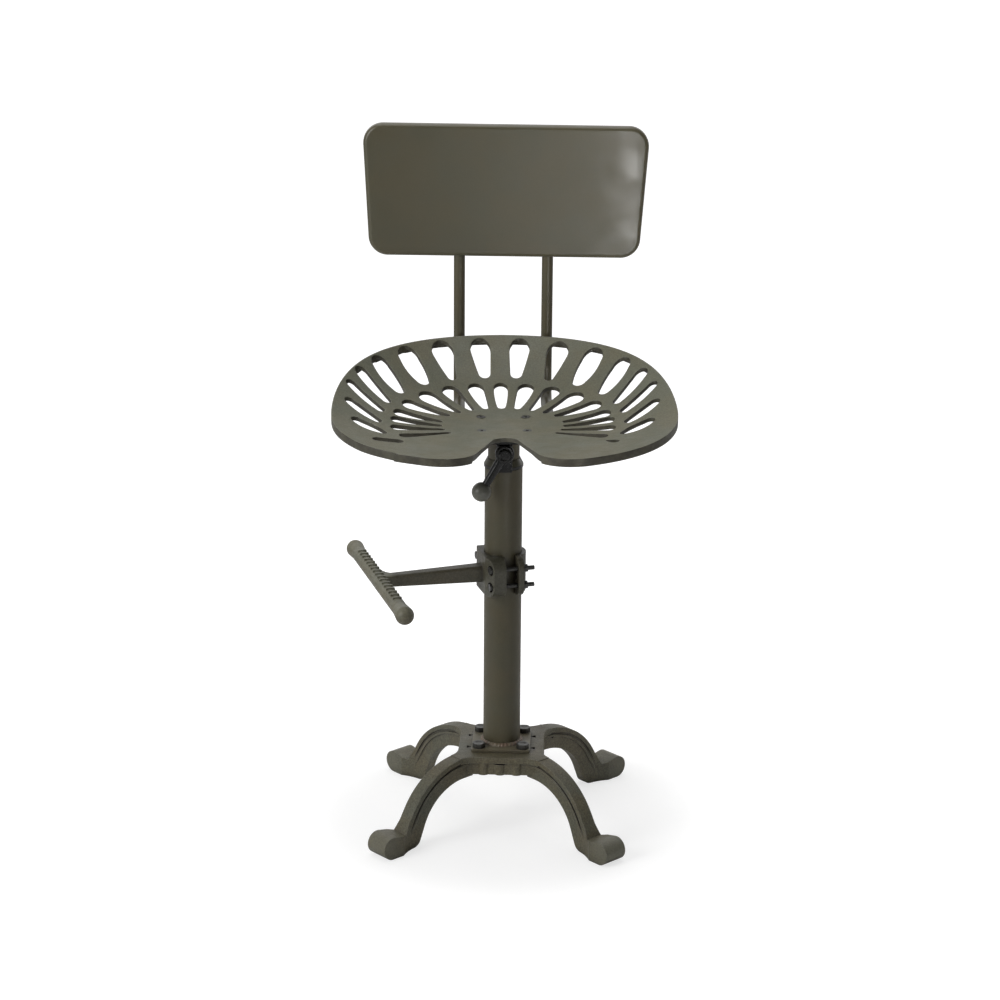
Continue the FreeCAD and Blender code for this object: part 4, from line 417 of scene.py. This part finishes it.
def world():
    """White behind the stool, and a soft room whose sides are unequally bright."""
    room = bpy.data.worlds.new("studio")
    bpy.context.scene.world = room
    room.use_nodes = True
    tree = room.node_tree
    tree.nodes.clear()
    add, link = tree.nodes.new, tree.links.new
    place = add("ShaderNodeTexCoord")

    def toward(direction, low, high):
        """0 to 1 as the view turns towards a direction."""
        dot = add("ShaderNodeVectorMath")
        dot.operation = "DOT_PRODUCT"
        link(place.outputs["Generated"], dot.inputs[0])
        dot.inputs[1].default_value = Vector(direction).normalized()
        span = add("ShaderNodeMapRange")
        span.interpolation_type = "SMOOTHSTEP"
        link(dot.outputs["Value"], span.inputs["Value"])
        span.inputs["From Min"].default_value = low
        span.inputs["From Max"].default_value = high
        return span.outputs["Result"]

    sides = {
        "above": toward((0, 0, 1), 0.1, 0.9),
        "behind": toward((0, 1, 0.2), 0.2, 0.95),
        "left": toward((-1, -0.3, 0.1), 0.3, 0.95),
        "right": toward((1, -0.2, 0.1), 0.4, 0.95),
        "front": toward((0, -1, 0.2), 0.2, 0.95),
    }
    total = add("ShaderNodeMath")
    total.inputs[0].default_value = ROOM["all"]
    total.inputs[1].default_value = 0.0
    for side, socket in sides.items():
        step = add("ShaderNodeMath")
        step.operation = "MULTIPLY_ADD"
        link(socket, step.inputs[0])
        step.inputs[1].default_value = ROOM[side]
        link(total.outputs["Value"], step.inputs[2])
        total = step
    path = add("ShaderNodeLightPath")
    strength = add("ShaderNodeMix")
    link(path.outputs["Is Camera Ray"], strength.inputs[0])
    link(total.outputs["Value"], strength.inputs[2])
    strength.inputs[3].default_value = 1.0
    background = add("ShaderNodeBackground")
    background.inputs["Color"].default_value = (1, 1, 1, 1)
    link(strength.outputs[0], background.inputs["Strength"])
    output = add("ShaderNodeOutputWorld")
    link(background.outputs["Background"], output.inputs["Surface"])


def softbox(name, place, aim, width, height, power, spread=180.0):
    """A large area light that faces a point, with its beam's full angle in degrees."""
    lamp = bpy.data.lights.new(name, "AREA")
    lamp.shape = "RECTANGLE"
    lamp.size, lamp.size_y = width, height
    lamp.energy = power
    lamp.spread = math.radians(spread)
    thing = bpy.data.objects.new(name, lamp)
    thing.location = place
    direction = Vector(aim) - Vector(place)
    thing.rotation_euler = direction.to_track_quat("-Z", "Y").to_euler()
    bpy.context.scene.collection.objects.link(thing)


CAMERA_PLACE = (-0.0046, -3.367, 1.5)
CAMERA_PITCH, CAMERA_ROLL, CAMERA_TURN = 17.22, 0.42, -1.4
CAMERA_LENS = 94.5


def camera():
    """Camera at the photograph's place: a long lens, from the front and a little above."""
    pitch, roll = math.radians(CAMERA_PITCH), math.radians(CAMERA_ROLL)
    turn = math.radians(CAMERA_TURN)
    right = Vector((1, 0, 0))
    ahead = Vector((0, math.cos(pitch), -math.sin(pitch)))
    upward = Vector((0, math.sin(pitch), math.cos(pitch)))
    c, s = math.cos(roll), math.sin(roll)
    side, top = right * c + upward * s, upward * c - right * s
    pose = Matrix((side, top, -ahead)).transposed().to_4x4()
    pose.translation = Vector(CAMERA_PLACE)
    lens = bpy.data.cameras.new("camera")
    lens.sensor_width = 36.0
    lens.lens = CAMERA_LENS
    lens.clip_end = 50.0
    thing = bpy.data.objects.new("camera", lens)
    thing.matrix_world = Matrix.Rotation(turn, 4, "Z") @ pose
    bpy.context.scene.collection.objects.link(thing)
    bpy.context.scene.camera = thing


floor()
world()
# Each lamp's name, place, aim, width, height, power and beam
MIDDLE = (0, 0, 0.45)
LAMPS = (
    ("key_left", (-2.4, -1.5, 1.7), MIDDLE, 1.2, 1.8, 48.0),
    ("top", (-0.1, 0.3, 2.8), MIDDLE, 2.0, 2.0, 27.0),
    ("backrest_glow", (1.1, -3.0, 0.3), (0.26, 0.19, 0.83), 0.6, 0.6, 0.37, 14.0),
    ("base_fill", (1.5, -2.6, 0.45), (0.14, -0.1, 0.0), 0.6, 0.6, 0.12, 12.0),
    ("back_right", (2.2, 1.6, 1.2), MIDDLE, 0.6, 1.8, 4.0),
)
for lamp in LAMPS:
    softbox(*lamp)
camera()
bpy.context.scene.view_settings.view_transform = "Standard"
